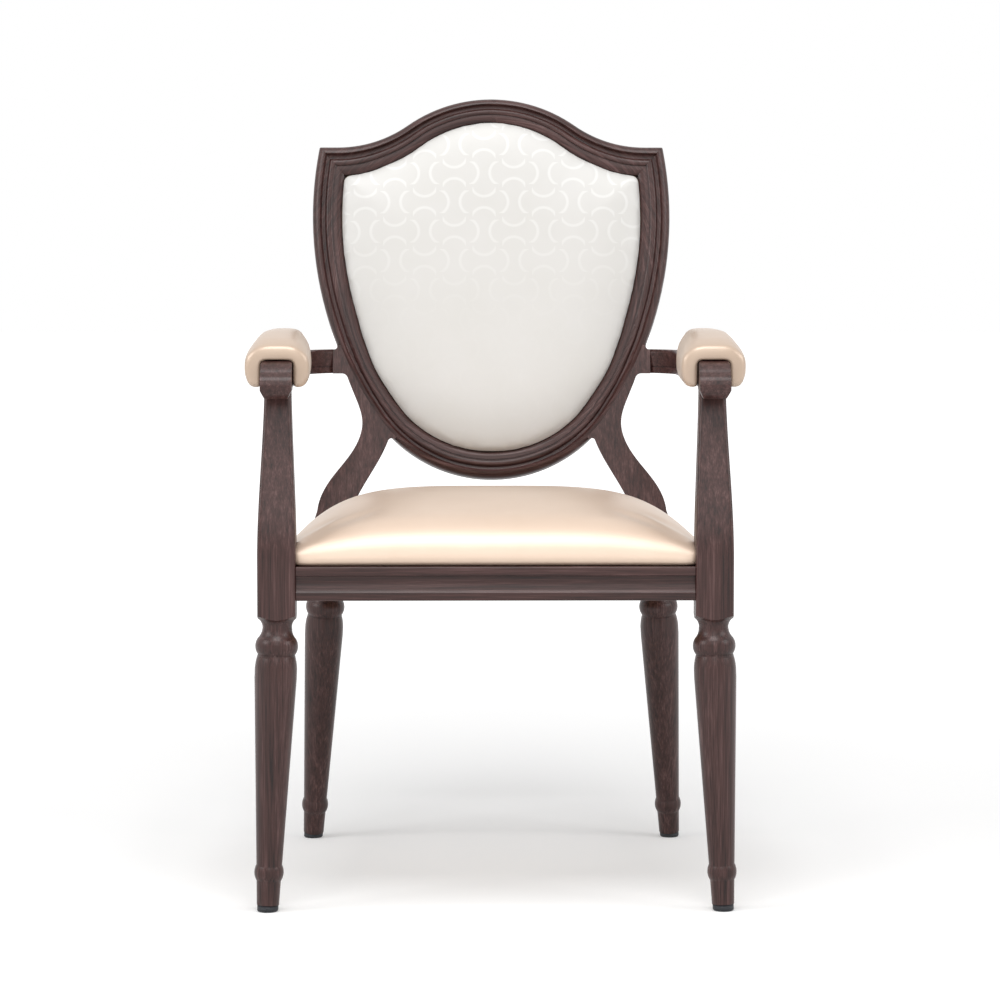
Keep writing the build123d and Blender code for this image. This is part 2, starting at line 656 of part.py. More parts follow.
# The two parts of the frame are mitred along the line through their outer and inner corners.
mitre_far = tuple(2 * a - b for a, b in zip(outer_ear, inner_ear))
mitre_outline = [(0, inner_ear[1]), inner_ear, mitre_far, (mitre_far[0], 2 * CREST_TOP), (0, 2 * CREST_TOP)]
crest_zone = extrude(make_face(Polyline(*mitre_outline, close=True)), 2 * FRAME_DEPTH, both=True)
ear_zone = extrude(shield_face(-1, EAR_CORNER + 3), 2 * FRAME_DEPTH, both=True)
half_hoop = (half_hoop & ear_zone) - crest_zone
half_crest = half_crest & ear_zone & crest_zone
shield_hoop = half_hoop + mirror(half_hoop, about=Plane.YZ)
shield_crest = half_crest + mirror(half_crest, about=Plane.YZ)

# Back pad and rear panel, on the two sides of the frame's flange

opening = FRAME_WIDTH + FIT_GAP
flange_front = -FLANGE_SET
flange_rear = flange_front - FLANGE_THICKNESS
pad_seat = flange_front + BACK_BOARD


def pad_face(inset):
    """Outline of the back's padding drawn in from the frame's opening."""
    return shield_face(opening + inset, BACK_PAD_CORNER + CORNER_GROWTH * inset)


def back_form():
    """Crowned pad of the back, from its board forward."""
    edge = pad_seat + BACK_EDGE
    sections = [Pos(0, 0, pad_seat) * pad_face(0)]
    for inset, rise in crown_steps(BACK_SLOPE_REACH, BACK_CROWN - edge, BACK_FULLNESS):
        sections.append(Pos(0, 0, edge + rise) * pad_face(inset))
    return loft(sections, ruled=True)


def rear_form():
    """Thin crowned pad over the rear board."""
    rear = flange_rear - REAR_BOARD
    edge = rear - REAR_EDGE
    sections = [Pos(0, 0, rear) * pad_face(0)]
    for inset, rise in crown_steps(REAR_SLOPE_REACH, REAR_CROWN - REAR_EDGE, REAR_FULLNESS):
        sections.append(Pos(0, 0, edge - rise) * pad_face(inset))
    return loft(sections, ruled=True)


back_screw_points = []
screw_inset = FRAME_WIDTH + FLANGE_REACH / 2
for angle in BACK_SCREW_ANGLES:
    x = side_centre[0] + (SIDE_RADIUS - screw_inset) * cos(radians(angle))
    y = side_centre[1] + (SIDE_RADIUS - screw_inset) * sin(radians(angle))
    back_screw_points += [(x, y), (-x, y)]
back_screw_bite = BACK_BOARD / 2
back_screw_seat = flange_rear - REAR_BOARD + SCREW_HEAD_HEIGHT
back_screw_length = flange_front - back_screw_seat + back_screw_bite


def back_holes(bottom, length):
    """Clearance holes at the back screws, from a height forward."""
    return [Pos(x, y, bottom) * screw_hole(length) for x, y in back_screw_points]


back_board = extrude(pad_face(0), BACK_BOARD)
back_board = Pos(0, 0, flange_front) * back_board - back_holes(flange_front, back_screw_bite)
rear_board = extrude(pad_face(0), REAR_BOARD)
rear_board_low = flange_rear - REAR_BOARD
rear_board = Pos(0, 0, rear_board_low) * rear_board - back_holes(rear_board_low, REAR_BOARD)
head_room = Cylinder(SCREW_HEAD + SLIP, SCREW_HEAD_HEIGHT, align=(Align.CENTER, Align.CENTER, Align.MAX))
rear_board -= [Pos(x, y, back_screw_seat) * head_room for x, y in back_screw_points]
back_screws = Compound([Pos(x, y, back_screw_seat) * screw(back_screw_length) for x, y in back_screw_points])
flange_holes = back_holes(flange_rear, FLANGE_THICKNESS)


def back_core(inset, thickness):
    """Flat slab on the board of the back, drawn in from the opening."""
    return Pos(0, 0, pad_seat) * extrude(pad_face(inset), thickness)


back_cover = back_form() - back_core(BACK_FOAM_INSET - FOAM_GAP, BACK_FOAM + FOAM_GAP)
for name, shape in (
    ("shield_hoop", shield_hoop - flange_holes),
    ("shield_crest", shield_crest),
    ("back_board", back_board),
    ("back_foam", back_core(BACK_FOAM_INSET, BACK_FOAM)),
    ("back_cover", back_cover),
    ("rear_board", rear_board),
    ("rear_cover", rear_form()),
    ("back_screws", back_screws),
):
    add(name, BACK.location * shape)

# Back posts: curved struts under the shield, with the arm's lug above and the leg's block below.
# They are cut level from front to rear, and their fronts run into the outer band of the shield.


def shares_between(low, high, shares):
    """Point at shares of the way across and up between two points."""
    return tuple(a + (b - a) * share for a, b, share in zip(low, high, shares))


def off_hoop(point):
    """Distance of a point from the lower run of the shield's outer edge."""
    return abs(hypot(point.X, point.Y - bottom_centre[1]) - BOTTOM_RADIUS)


lug_low = (ARM_BOTTOM - BACK_Z) / cos(radians(BACK_LEAN))
lug_high = (ARM_TOP - BACK_Z) / cos(radians(BACK_LEAN))
LUG_X = hoop_edge(lug_high) + LUG_REACH
foot_outer = (STRUT_OUTER_X, STRUT_FOOT)
foot_inner = (STRUT_INNER_X, STRUT_FOOT)
waist = (hoop_edge(STRUT_WAIST_RISE) + STRUT_WAIST, STRUT_WAIST_RISE)
lug_root = (hoop_edge(lug_low) + LUG_ROOT, lug_low)
crotch = (hoop_edge(CROTCH_RISE) - CROTCH_SINK, CROTCH_RISE)
outer_run = [shares_between(foot_outer, waist, shares) for shares in STRUT_OUTER_CURVE]
inner_run = [shares_between(crotch, foot_inner, shares) for shares in STRUT_INNER_CURVE]
neck_point = shares_between(waist, lug_root, STRUT_NECK_CURVE)
strut_outline = [
    Spline(foot_outer, *outer_run, waist, neck_point, lug_root),
    Polyline(lug_root, (LUG_X, lug_low), (LUG_X, lug_high), (crotch[0], lug_high), crotch),
    Spline(crotch, *inner_run, foot_inner),
    Line(foot_inner, foot_outer),
]
strut_face = make_face(strut_outline)
lug_corners = [v for v in strut_face.vertices() if hypot(v.X - lug_root[0], v.Y - lug_root[1]) < SLIP]
strut_face = fillet(lug_corners, LUG_CORNER) + shield_face(0)
low_corners = [v for v in strut_face.vertices() if v.X > 0 and v.Y < STRUT_WAIST_RISE]
strut_face = fillet([v for v in low_corners if off_hoop(v) < SLIP], CROTCH_ROUND)
top_corners = [v for v in strut_face.vertices() if v.X > 0 and abs(v.Y - lug_high) < SLIP]
strut_face = fillet([v for v in top_corners if v.X < LUG_X - SLIP], LUG_TOP_ROUND * LUG_REACH)
weld_low = [v for v in strut_face.vertices() if 0 < v.X and v.Y < STRUT_WAIST_RISE and off_hoop(v) < SLIP][0]
weld_high = [v for v in strut_face.vertices() if 0 < v.X and SLIP < v.Y - lug_high < LUG_REACH][0]
weld_reach = 2 * OUTER_BAND
weld_share = weld_reach / BOTTOM_RADIUS
weld_zone = Polyline(
    shares_between((weld_low.X, weld_low.Y), bottom_centre, (weld_share, weld_share)),
    (weld_low.X, weld_low.Y),
    (weld_low.X, STRUT_FOOT),
    (2 * LUG_X, STRUT_FOOT),
    (2 * LUG_X, weld_high.Y),
    (weld_high.X - weld_reach, weld_high.Y),
    close=True,
)
strut_face = (strut_face & make_face(weld_zone)) - shield_face(OUTER_BAND)
level_depth = STRUT_DEPTH / cos(radians(BACK_LEAN))
strut_faces = BACK.location * Pos(0, 0, -STRUT_FRONT) * strut_face
full_hoop = frame_turn(bottom_centre, BOTTOM_RADIUS, -pi / 2, side_start, 1, hollow=False)
full_hoop += frame_turn(side_centre, SIDE_RADIUS, side_start, ear_angle, 1, hollow=False)
strut = extrude(strut_faces, level_depth, dir=(0, 1, 0)) - BACK.location * full_hoop

foot_corner = BACK.location * Pos(*foot_outer, -STRUT_FRONT)
foot_place = Pos(STRUT_OUTER_X, foot_corner.position.Y, foot_corner.position.Z)
strut_foot = foot_place * Rectangle(STRUT_FOOT_WIDTH, level_depth, align=(Align.MAX, Align.MIN))
block_top = Pos(REAR_X, REAR_Y, RAIL_TOP) * Rectangle(BLOCK_SIZE, BLOCK_SIZE)
block_far = (REAR_X + BLOCK_SIZE / 2, REAR_Y + BLOCK_SIZE / 2, RAIL_TOP)
block = slab((BLOCK_INNER_X, BLOCK_FRONT_Y, NECK_Z), block_far)
block = block & turned_end(REAR_X, REAR_Y, REAR_SPLAY, REAR_LEAN, RAIL_TOP)
add_pair("back_post", strut + loft([block_top, strut_foot]) + block)

# Arms: a bar that curves in to the lug of the back post, with a rolled front end

lug_middle = (lug_low + lug_high) / 2
lug_depth = STRUT_FRONT + STRUT_DEPTH / 2
ARM_END_Y = BACK_Y + lug_middle * sin(radians(BACK_LEAN)) + lug_depth * cos(radians(BACK_LEAN))
roll_y = ROLL_FRONT + ROLL_RADIUS
roll_z = ARM_BOTTOM + ROLL_RADIUS / 10
arm_front_y = roll_y + SCROLL_SLOPE


def arm_plan(inset):
    """Plan of the arm bar drawn in by an inset, from behind its scroll to the lug."""
    outer = FRONT_X + ARM_WIDTH / 2 - inset
    inner = FRONT_X - ARM_WIDTH / 2 + inset
    rear = ARM_END_Y + ARM_END_WIDTH / 2 - inset
    front = ARM_END_Y - ARM_END_WIDTH / 2 + inset
    outer_turn = (outer, rear - ARM_OUTER_TURN)
    inner_turn = (inner, front - ARM_INNER_TURN)
    outline = [
        Polyline(inner_turn, (inner, arm_front_y), (outer, arm_front_y), outer_turn),
        TangentArc(outer_turn, (LUG_X, rear), tangent=(0, 1)),
        Line((LUG_X, rear), (LUG_X, front)),
        TangentArc(inner_turn, (LUG_X, front), tangent=(0, 1)),
    ]
    return make_face(outline)


def arm_layer(inset, low, high):
    """Slice of the arm bar between two heights."""
    return Pos(0, 0, low) * extrude(arm_plan(inset), high - low)


crease = (roll_y - 0.3 * ROLL_RADIUS, roll_z + 0.954 * ROLL_RADIUS)
roll_back = (roll_y + 0.766 * ROLL_RADIUS, roll_z - 0.643 * ROLL_RADIUS)
scroll_side = [
    ThreePointArc((arm_front_y, ARM_TOP), (roll_y + 0.42 * SCROLL_SLOPE, ARM_TOP - SCROLL_CROWN), crease),
    ThreePointArc(crease, (roll_y - 0.8 * ROLL_RADIUS, roll_z - 0.6 * ROLL_RADIUS), roll_back),
    Polyline(roll_back, (arm_front_y, ARM_BOTTOM), (arm_front_y, ARM_TOP)),
]
scroll_low = roll_z - ROLL_RADIUS
half_arm = ARM_WIDTH / 2
front_view = [
    (FRONT_X - half_arm + ARM_EDGE, scroll_low),
    (FRONT_X + half_arm - ARM_EDGE, scroll_low),
    (FRONT_X + half_arm, scroll_low + 2 * ARM_EDGE),
    (FRONT_X + half_arm, ARM_TOP),
    (FRONT_X - half_arm, ARM_TOP),
    (FRONT_X - half_arm, scroll_low + 2 * ARM_EDGE),
]
front_face = make_face(Polyline(*front_view, close=True))
front_face = fillet(front_face.vertices().group_by(Axis.Y)[-1], ARM_EDGE)
front_prism = extrude(Plane.XZ * front_face, -2 * ROLL_FRONT)
scroll_plane = Plane((FRONT_X, 0, 0), x_dir=(0, 1, 0), z_dir=(1, 0, 0))
scroll = extrude(scroll_plane * make_face(scroll_side), ARM_WIDTH, both=True) & front_prism

bar = arm_layer(0, ARM_BOTTOM, ARM_TOP)
long_edges = bar.faces().sort_by(Axis.Z)[-1].edges().filter_by(lambda edge: edge.center().Y > arm_front_y + 1)
long_edges = long_edges.filter_by(lambda edge: abs(edge.center().X - LUG_X) > 1)
bar = fillet(long_edges, ARM_EDGE)
line_low = ARM_BOTTOM + ARM_LINE
line_high = line_low + ARM_LINE_WIDTH
line_cut = arm_layer(-ARM_LINE_DEPTH, line_low, line_high) - arm_layer(ARM_LINE_DEPTH, line_low, line_high)
bore = arm_layer(ARM_EDGE, ARM_BOTTOM + TUBE_WALL, ARM_TOP - TUBE_WALL)
pad_screw_y = [PAD_FRONT + PAD_SCREW_INSET, PAD_FRONT + PAD_LENGTH - PAD_SCREW_INSET]
pad_screw_length = ARM_HEIGHT + PAD_BOARD / 2
arm_screw_holes = [Pos(FRONT_X, y, ARM_BOTTOM) * screw_hole(ARM_HEIGHT) for y in pad_screw_y]
add_pair("arm", bar - line_cut - bore + scroll - arm_screw_holes)

# Arm pads: a board screwed to the arm from below, and a padded cover that hangs over its sides

board_low = (FRONT_X - PAD_BOARD_WIDTH / 2, PAD_FRONT + PAD_END_RADIUS, ARM_TOP)
board_high = (FRONT_X + PAD_BOARD_WIDTH / 2, PAD_FRONT + PAD_LENGTH - PAD_END_RADIUS, ARM_TOP + PAD_BOARD)
pad_board = slab(board_low, board_high)
for y in pad_screw_y:
    pad_board -= Pos(FRONT_X, y, ARM_TOP) * screw_hole(PAD_BOARD / 2)
add_pair("arm_pad_board", pad_board)
pad_screws = [Pos(FRONT_X, y, ARM_BOTTOM) * screw(pad_screw_length) for y in pad_screw_y]
add("arm_pad_screws", Compound(pad_screws + [mirror(item, about=Plane.YZ) for item in pad_screws]))

half_pad = PAD_WIDTH / 2
channel = half_arm + FIT_GAP
flap_middle = (half_pad + channel) / 2
pad_low = ARM_TOP - PAD_HANG
pad_top = ARM_TOP + PAD_RISE
shoulder_top = pad_top - PAD_CROWN
shoulder = PAD_SHOULDER * (1 - sqrt(0.5))
flap_inner = (channel, pad_low + FLAP_ROUND / 2)
flap_outer = (half_pad - FLAP_ROUND / 2, pad_low + FLAP_ROUND)
side_top = (half_pad - PAD_BULGE, shoulder_top - PAD_SHOULDER)
shoulder_end = (half_pad - PAD_BULGE - PAD_SHOULDER, shoulder_top)
pad_roof = ARM_TOP - PAD_HANG / 5
half_outline = [
    Line((channel, pad_roof), flap_inner),
    ThreePointArc(flap_inner, (flap_middle, pad_low), flap_outer),
    ThreePointArc(flap_outer, (half_pad, ARM_TOP - FLAP_ROUND), side_top),
    ThreePointArc(side_top, (half_pad - PAD_BULGE - shoulder, shoulder_top - shoulder), shoulder_end),
]
pad_lines = [
    ThreePointArc(shoulder_end, (0, pad_top), (-shoulder_end[0], shoulder_top)),
    Line((channel, pad_roof), (-channel, pad_roof)),
]
pad_section = make_face(half_outline + flipped(half_outline) + pad_lines)
pad_plane = Plane((FRONT_X, PAD_FRONT, 0), x_dir=(1, 0, 0), z_dir=(0, -1, 0))
pad_tube = extrude(pad_plane * pad_section, -PAD_LENGTH)
pad_profile = Rectangle(PAD_LENGTH, PAD_RISE + PAD_HANG, align=(Align.MIN, Align.MIN))
pad_profile = fillet(pad_profile.vertices().group_by(Axis.Y)[-1], PAD_END_RADIUS)
pad_side_plane = Plane((FRONT_X, PAD_FRONT, pad_low), x_dir=(0, 1, 0), z_dir=(1, 0, 0))
pad_side = extrude(pad_side_plane * pad_profile, PAD_WIDTH, both=True)
pad_rear = PAD_FRONT + PAD_LENGTH
pad_plan = Polyline(
    (FRONT_X - half_pad, PAD_FRONT),
    (FRONT_X + half_pad, PAD_FRONT),
    (FRONT_X + PAD_REAR_WIDTH / 2, pad_rear),
    (FRONT_X - PAD_REAR_WIDTH / 2, pad_rear),
    close=True,
)
pad_plan = make_face(pad_plan)
pad_taper = extrude(fillet(pad_plan.vertices(), PAD_CORNER), 2 * pad_top)
arm_room_low = (FRONT_X - channel, PAD_FRONT - PAD_LENGTH, pad_low - PAD_HANG)
arm_room_high = (FRONT_X + channel, PAD_FRONT + 2 * PAD_LENGTH, ARM_TOP + FOAM_GAP)
arm_room = slab(arm_room_low, arm_room_high)
pad_board_room = slab([c - FOAM_GAP for c in board_low], [c + FOAM_GAP for c in board_high])
add_pair("arm_pad", (pad_tube & pad_side & pad_taper) - arm_room - pad_board_room)

# The finished chair stands on the floor, centred front to back over the origin.

whole = Compound([solid for shape in nodes.values() for solid in shape.solids()])
middle = whole.bounding_box().center()
os.makedirs("parts", exist_ok=True)
for name, shape in nodes.items():
    export_step(Pos(0, -middle.Y, 0) * shape, f"parts/{name}.step")
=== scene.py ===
import json
from math import cos, degrees, pi, radians, sin

import bpy
from mathutils import Matrix, Vector
from mathutils.bvhtree import BVHTree
from mathutils.kdtree import KDTree

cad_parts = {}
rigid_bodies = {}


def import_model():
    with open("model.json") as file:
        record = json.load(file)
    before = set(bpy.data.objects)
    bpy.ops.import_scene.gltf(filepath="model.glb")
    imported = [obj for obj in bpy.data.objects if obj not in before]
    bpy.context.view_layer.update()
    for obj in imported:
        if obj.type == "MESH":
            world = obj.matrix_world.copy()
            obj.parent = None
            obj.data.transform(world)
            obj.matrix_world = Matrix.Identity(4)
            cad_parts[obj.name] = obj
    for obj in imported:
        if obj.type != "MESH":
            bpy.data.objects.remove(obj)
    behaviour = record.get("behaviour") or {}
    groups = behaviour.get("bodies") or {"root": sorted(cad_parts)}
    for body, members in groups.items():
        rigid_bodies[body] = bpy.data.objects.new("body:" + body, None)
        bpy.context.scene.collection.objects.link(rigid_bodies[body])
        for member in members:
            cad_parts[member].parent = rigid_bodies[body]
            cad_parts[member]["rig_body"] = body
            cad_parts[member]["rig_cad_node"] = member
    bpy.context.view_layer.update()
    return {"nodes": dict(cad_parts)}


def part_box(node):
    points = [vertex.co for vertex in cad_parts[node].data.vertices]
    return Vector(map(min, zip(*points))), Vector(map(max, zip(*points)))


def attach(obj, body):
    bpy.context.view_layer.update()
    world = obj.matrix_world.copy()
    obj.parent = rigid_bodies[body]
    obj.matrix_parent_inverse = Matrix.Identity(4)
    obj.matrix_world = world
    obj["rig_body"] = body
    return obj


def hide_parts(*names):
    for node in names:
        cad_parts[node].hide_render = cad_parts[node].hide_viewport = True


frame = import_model()
scene = bpy.context.scene


# Seat rails: four moulded aluminium tubes welded between the posts. They carry a baked wood-look
# coating, a dark walnut print with fine reddish grain along each tube under a satin lacquer.
def socket(group, name, kind, way):
    """Named input or output of a node group."""
    return group.interface.new_socket(name=name, socket_type=kind, in_out=way)


def noise(nodes, links, vector, scale, detail):
    """Noise stretched along X: its scale is given along and across the grain."""
    place = nodes.new("ShaderNodeMapping")
    place.inputs["Scale"].default_value = (scale[0], scale[1], scale[1])
    links.new(vector, place.inputs["Vector"])
    cloud = nodes.new("ShaderNodeTexNoise")
    cloud.inputs["Scale"].default_value = 1.0
    cloud.inputs["Detail"].default_value = detail
    cloud.inputs["Roughness"].default_value = 0.62
    links.new(place.outputs["Vector"], cloud.inputs["Vector"])
    return cloud.outputs["Fac"]


def ramp(nodes, links, value, stops):
    """Colour ramp on a value, from a list of places and colours."""
    band = nodes.new("ShaderNodeValToRGB")
    band.color_ramp.elements[0].position, band.color_ramp.elements[0].color = stops[0]
    band.color_ramp.elements[1].position, band.color_ramp.elements[1].color = stops[-1]
    for position, color in stops[1:-1]:
        band.color_ramp.elements.new(position).color = color
    links.new(value, band.inputs["Fac"])
    return band.outputs["Color"]


def blend_values(nodes, links, first, second, share):
    """Two values mixed by a fixed share."""
    mix = nodes.new("ShaderNodeMix")
    mix.inputs["Factor"].default_value = share
    links.new(first, mix.inputs["A"])
    links.new(second, mix.inputs["B"])
    return mix.outputs["Result"]


def remap(nodes, links, value, low, high):
    """A value from 0 to 1 brought to a range."""
    rule = nodes.new("ShaderNodeMapRange")
    rule.inputs["To Min"].default_value = low
    rule.inputs["To Max"].default_value = high
    links.new(value, rule.inputs["Value"])
    return rule.outputs["Result"]


walnut_grain = bpy.data.node_groups.new("walnut_grain", "ShaderNodeTree")
socket(walnut_grain, "Along grain", "NodeSocketVector", "INPUT")
socket(walnut_grain, "Color", "NodeSocketColor", "OUTPUT")
socket(walnut_grain, "Roughness", "NodeSocketFloat", "OUTPUT")
socket(walnut_grain, "Height", "NodeSocketFloat", "OUTPUT")
grain_nodes = walnut_grain.nodes
grain_links = walnut_grain.links
grain_in = grain_nodes.new("NodeGroupInput").outputs["Along grain"]
grain_out = grain_nodes.new("NodeGroupOutput").inputs
fine = noise(grain_nodes, grain_links, grain_in, (16.0, 620.0), 3.0)
streak = noise(grain_nodes, grain_links, grain_in, (4.5, 210.0), 4.0)
band = noise(grain_nodes, grain_links, grain_in, (1.5, 45.0), 3.0)
figure = blend_values(grain_nodes, grain_links, streak, band, 0.35)
figure = blend_values(grain_nodes, grain_links, figure, fine, 0.40)
walnut_stops = [
    (0.36, (0.010, 0.0036, 0.0030, 1)),
    (0.46, (0.038, 0.0145, 0.0122, 1)),
    (0.53, (0.058, 0.0240, 0.0212, 1)),
    (0.63, (0.112, 0.0570, 0.0530, 1)),
]
grain_links.new(ramp(grain_nodes, grain_links, figure, walnut_stops), grain_out["Color"])
grain_links.new(remap(grain_nodes, grain_links, figure, 0.50, 0.34), grain_out["Roughness"])
grain_links.new(figure, grain_out["Height"])


def fresh_material(name):
    """New material, with its nodes, its links and its shader at hand."""
    material = bpy.data.materials.new(name)
    material.use_nodes = True
    tree = material.node_tree
    return material, tree.nodes, tree.links, tree.nodes["Principled BSDF"]


def raise_surface(nodes, links, shader, height, strength, distance):
    """Fine relief on the surface of a shader."""
    bump = nodes.new("ShaderNodeBump")
    bump.inputs["Strength"].default_value = strength
    bump.inputs["Distance"].default_value = distance
    links.new(height, bump.inputs["Height"])
    links.new(bump.outputs["Normal"], shader.inputs["Normal"])


def walnut(name, turn=(0, 0, 0), path=None):
    """Wood-look coating whose grain runs along X after a turn, or along a path kept on the mesh."""
    material, nodes, links, shader = fresh_material(name)
    shader.inputs["Specular IOR Level"].default_value = 0.28
    shader.inputs["Coat Weight"].default_value = 0.22
    shader.inputs["Coat Roughness"].default_value = 0.26
    grain = nodes.new("ShaderNodeGroup")
    grain.node_tree = walnut_grain
    if path:
        places = nodes.new("ShaderNodeAttribute")
        places.attribute_name = path
        links.new(places.outputs["Vector"], grain.inputs["Along grain"])
    else:
        places = nodes.new("ShaderNodeTexCoord")
        turned = nodes.new("ShaderNodeMapping")
        turned.inputs["Rotation"].default_value = turn
        links.new(places.outputs["Object"], turned.inputs["Vector"])
        links.new(turned.outputs["Vector"], grain.inputs["Along grain"])
    links.new(grain.outputs["Color"], shader.inputs["Base Color"])
    links.new(grain.outputs["Roughness"], shader.inputs["Roughness"])
    raise_surface(nodes, links, shader, grain.outputs["Height"], strength=0.28, distance=0.0006)
    return material


def work_on(piece):
    """Make one piece the only one selected, and the active one."""
    bpy.ops.object.select_all(action="DESELECT")
    bpy.context.view_layer.objects.active = piece
    piece.select_set(True)


join_reach = 0.00002


def merged_copy(node, name):
    """New piece from a solid's mesh, with its loose triangles joined."""
    work_on(frame["nodes"][node])
    bpy.ops.object.duplicate()
    piece = bpy.context.object
    piece.name = name
    piece.data.name = name
    piece.parent = None
    del piece["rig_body"]
    del piece["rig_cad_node"]
    piece.data.materials.clear()
    bpy.ops.object.mode_set(mode="EDIT")
    bpy.ops.mesh.select_all(action="SELECT")
    bpy.ops.mesh.remove_doubles(threshold=join_reach)
    bpy.ops.object.mode_set(mode="OBJECT")
    return piece


def apply_all(piece):
    """Apply every modifier of a piece in its order."""
    work_on(piece)
    for name in [modifier.name for modifier in piece.modifiers]:
        bpy.ops.object.modifier_apply(modifier=name)


def search_trees(nodes):
    """Search trees over the meshes of some solids."""
    graph = bpy.context.evaluated_depsgraph_get()
    return [BVHTree.FromObject(frame["nodes"][node], graph) for node in nodes]


flat_angle = radians(0.6)
sharp_angle = radians(38)
weld_reach = 0.0015


def eased(piece, width, joints=()):
    """Round off the sharp edges of a metal piece, apart from those welded to its joints."""
    work_on(piece)
    bpy.ops.object.mode_set(mode="EDIT")
    bpy.ops.mesh.select_all(action="SELECT")
    bpy.ops.mesh.dissolve_limited(angle_limit=flat_angle)
    bpy.ops.mesh.select_all(action="DESELECT")
    bpy.ops.mesh.select_mode(type="EDGE")
    bpy.ops.mesh.edges_select_sharp(sharpness=sharp_angle)
    bpy.ops.object.mode_set(mode="OBJECT")
    bpy.ops.object.shade_smooth()
    mesh = piece.data
    seams = search_trees(joints)
    weights = mesh.attributes.new("bevel_weight_edge", "FLOAT", "EDGE")
    for edge in mesh.edges:
        middle = (mesh.vertices[edge.vertices[0]].co + mesh.vertices[edge.vertices[1]].co) / 2
        welded = any(seam.find_nearest(middle, weld_reach)[0] for seam in seams)
        weights.data[edge.index].value = 1.0 if edge.select and not welded else 0.0
    bevel = piece.modifiers.new("eased edges", "BEVEL")
    bevel.limit_method = "WEIGHT"
    bevel.width = width
    bevel.segments = 3
    bevel.use_clamp_overlap = True
    normals = piece.modifiers.new("even shading", "WEIGHTED_NORMAL")
    normals.keep_sharp = True
    apply_all(piece)


def settle(piece, slot, *nodes):
    """Fix a finished piece to the chair in place of its solids."""
    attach(piece, "root")
    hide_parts(*nodes)


along_x = walnut("walnut_along_x")
along_y = walnut("walnut_along_y", turn=(0, 0, pi / 2))
rail_ease = 0.0006
for node, finish in (
    ("front_rail", along_x),
    ("rear_rail", along_x),
    ("side_rail_left", along_y),
    ("side_rail_right", along_y),
):
    rail = merged_copy(node, node + "_tube")
    eased(rail, rail_ease)
    rail.data.materials.append(finish)
    settle(rail, "frame_finish", node)


# Turned legs: round, tapered aluminium tubes with a ring above the foot and a bead under the neck.
# They are spun from tube, coated like the rails and plugged into the blocks above them.
along_z = walnut("walnut_along_z", turn=(0, pi / 2, 0))
turned_angle = radians(32)
for node in ("front_leg_left", "front_leg_right", "rear_leg_left", "rear_leg_right"):
    leg = merged_copy(node, node + "_tube")
    work_on(leg)
    bpy.ops.object.shade_smooth_by_angle(angle=turned_angle)
    leg.data.materials.append(along_z)
    settle(leg, "frame_finish", node)


# Glides and plugs: black plastic feet pressed into the legs, and the plugs that locate the leg tops.
# Both are moulded with a fine matte spark texture.
glide_plastic, glide_nodes, glide_links, glide_shader = fresh_material("glide_plastic")
glide_places = glide_nodes.new("ShaderNodeTexCoord")
spark = noise(glide_nodes, glide_links, glide_places.outputs["Object"], (1500.0, 1500.0), 2.0)
glide_stops = [(0.3, (0.0112, 0.0126, 0.0168, 1)), (0.7, (0.016, 0.018, 0.024, 1))]
glide_links.new(ramp(glide_nodes, glide_links, spark, glide_stops), glide_shader.inputs["Base Color"])
glide_links.new(remap(glide_nodes, glide_links, spark, 0.42, 0.58), glide_shader.inputs["Roughness"])
raise_surface(glide_nodes, glide_links, glide_shader, spark, strength=0.2, distance=0.0003)
for node in (
    "foot_glide_front_left",
    "foot_glide_front_right",
    "foot_glide_rear_left",
    "foot_glide_rear_right",
):
    glide = merged_copy(node, node + "_foot")
    work_on(glide)
    bpy.ops.object.shade_smooth_by_angle(angle=turned_angle)
    glide.data.materials.append(glide_plastic)
    settle(glide, "glides", node)


def coat(node, material):
    """Give a solid that stays as it is its material."""
    mesh = frame["nodes"][node].data
    mesh.materials.clear()
    mesh.materials.append(material)


coat("leg_plugs", glide_plastic)


# Front posts: square at the rails, then swept back and tapered up to the arms in one tube.
# Their lower ends are turned down to the round necks of the legs.
post_ease = 0.0008
for node in ("arm_post_left", "arm_post_right"):
    post = merged_copy(node, node + "_tube")
    eased(post, post_ease)
    post.data.materials.append(along_z)
    settle(post, "frame_finish", node)


# Back posts: flat curved struts that carry the shield, welded to the rear blocks and to the arms.
# Their edges are rounded over and the weld at the shield is ground smooth.
strut_ease = 0.0022
for node in ("back_post_left", "back_post_right"):
    strut = merged_copy(node, node + "_strut")
    eased(strut, strut_ease, joints=("shield_hoop", node.replace("back_post", "arm")))
    strut.data.materials.append(along_z)
    settle(strut, "frame_finish", node)


# Shield frame: a moulded aluminium section bent to the shield's outline, mitred at its two ears.
# The printed grain follows the bend, so each point keeps its distance along the outline.
lean = radians(10.5)
centred = 0.001274
back_foot = Vector((0, 0.176 + centred, 0.480))
back_up = Vector((0, sin(lean), cos(lean)))
back_out = Vector((0, -cos(lean), sin(lean)))
bend_radius = 0.20
moulding_ease = 0.0005


def on_back(point):
    """Place of a point on the leaning plane of the back: across, up and towards the front."""
    away = point - back_foot
    return Vector((away.x, away.dot(back_up), away.dot(back_out)))


shield_parts = ("shield_hoop", "shield_crest")
shield_middle = 0.25
probe_depth = 0.005
shield_trees = search_trees(shield_parts)
# Outer radius of the shield about its middle, for each degree from its foot to its crest.
shield_reach = []
for angle in range(181):
    ray = back_up * -cos(radians(angle)) + Vector((sin(radians(angle)), 0, 0))
    far_off = back_foot + back_up * shield_middle + ray - back_out * probe_depth
    hits = [tree.ray_cast(far_off, -ray)[3] for tree in shield_trees]
    shield_reach.append(1 - min(hit for hit in hits if hit))
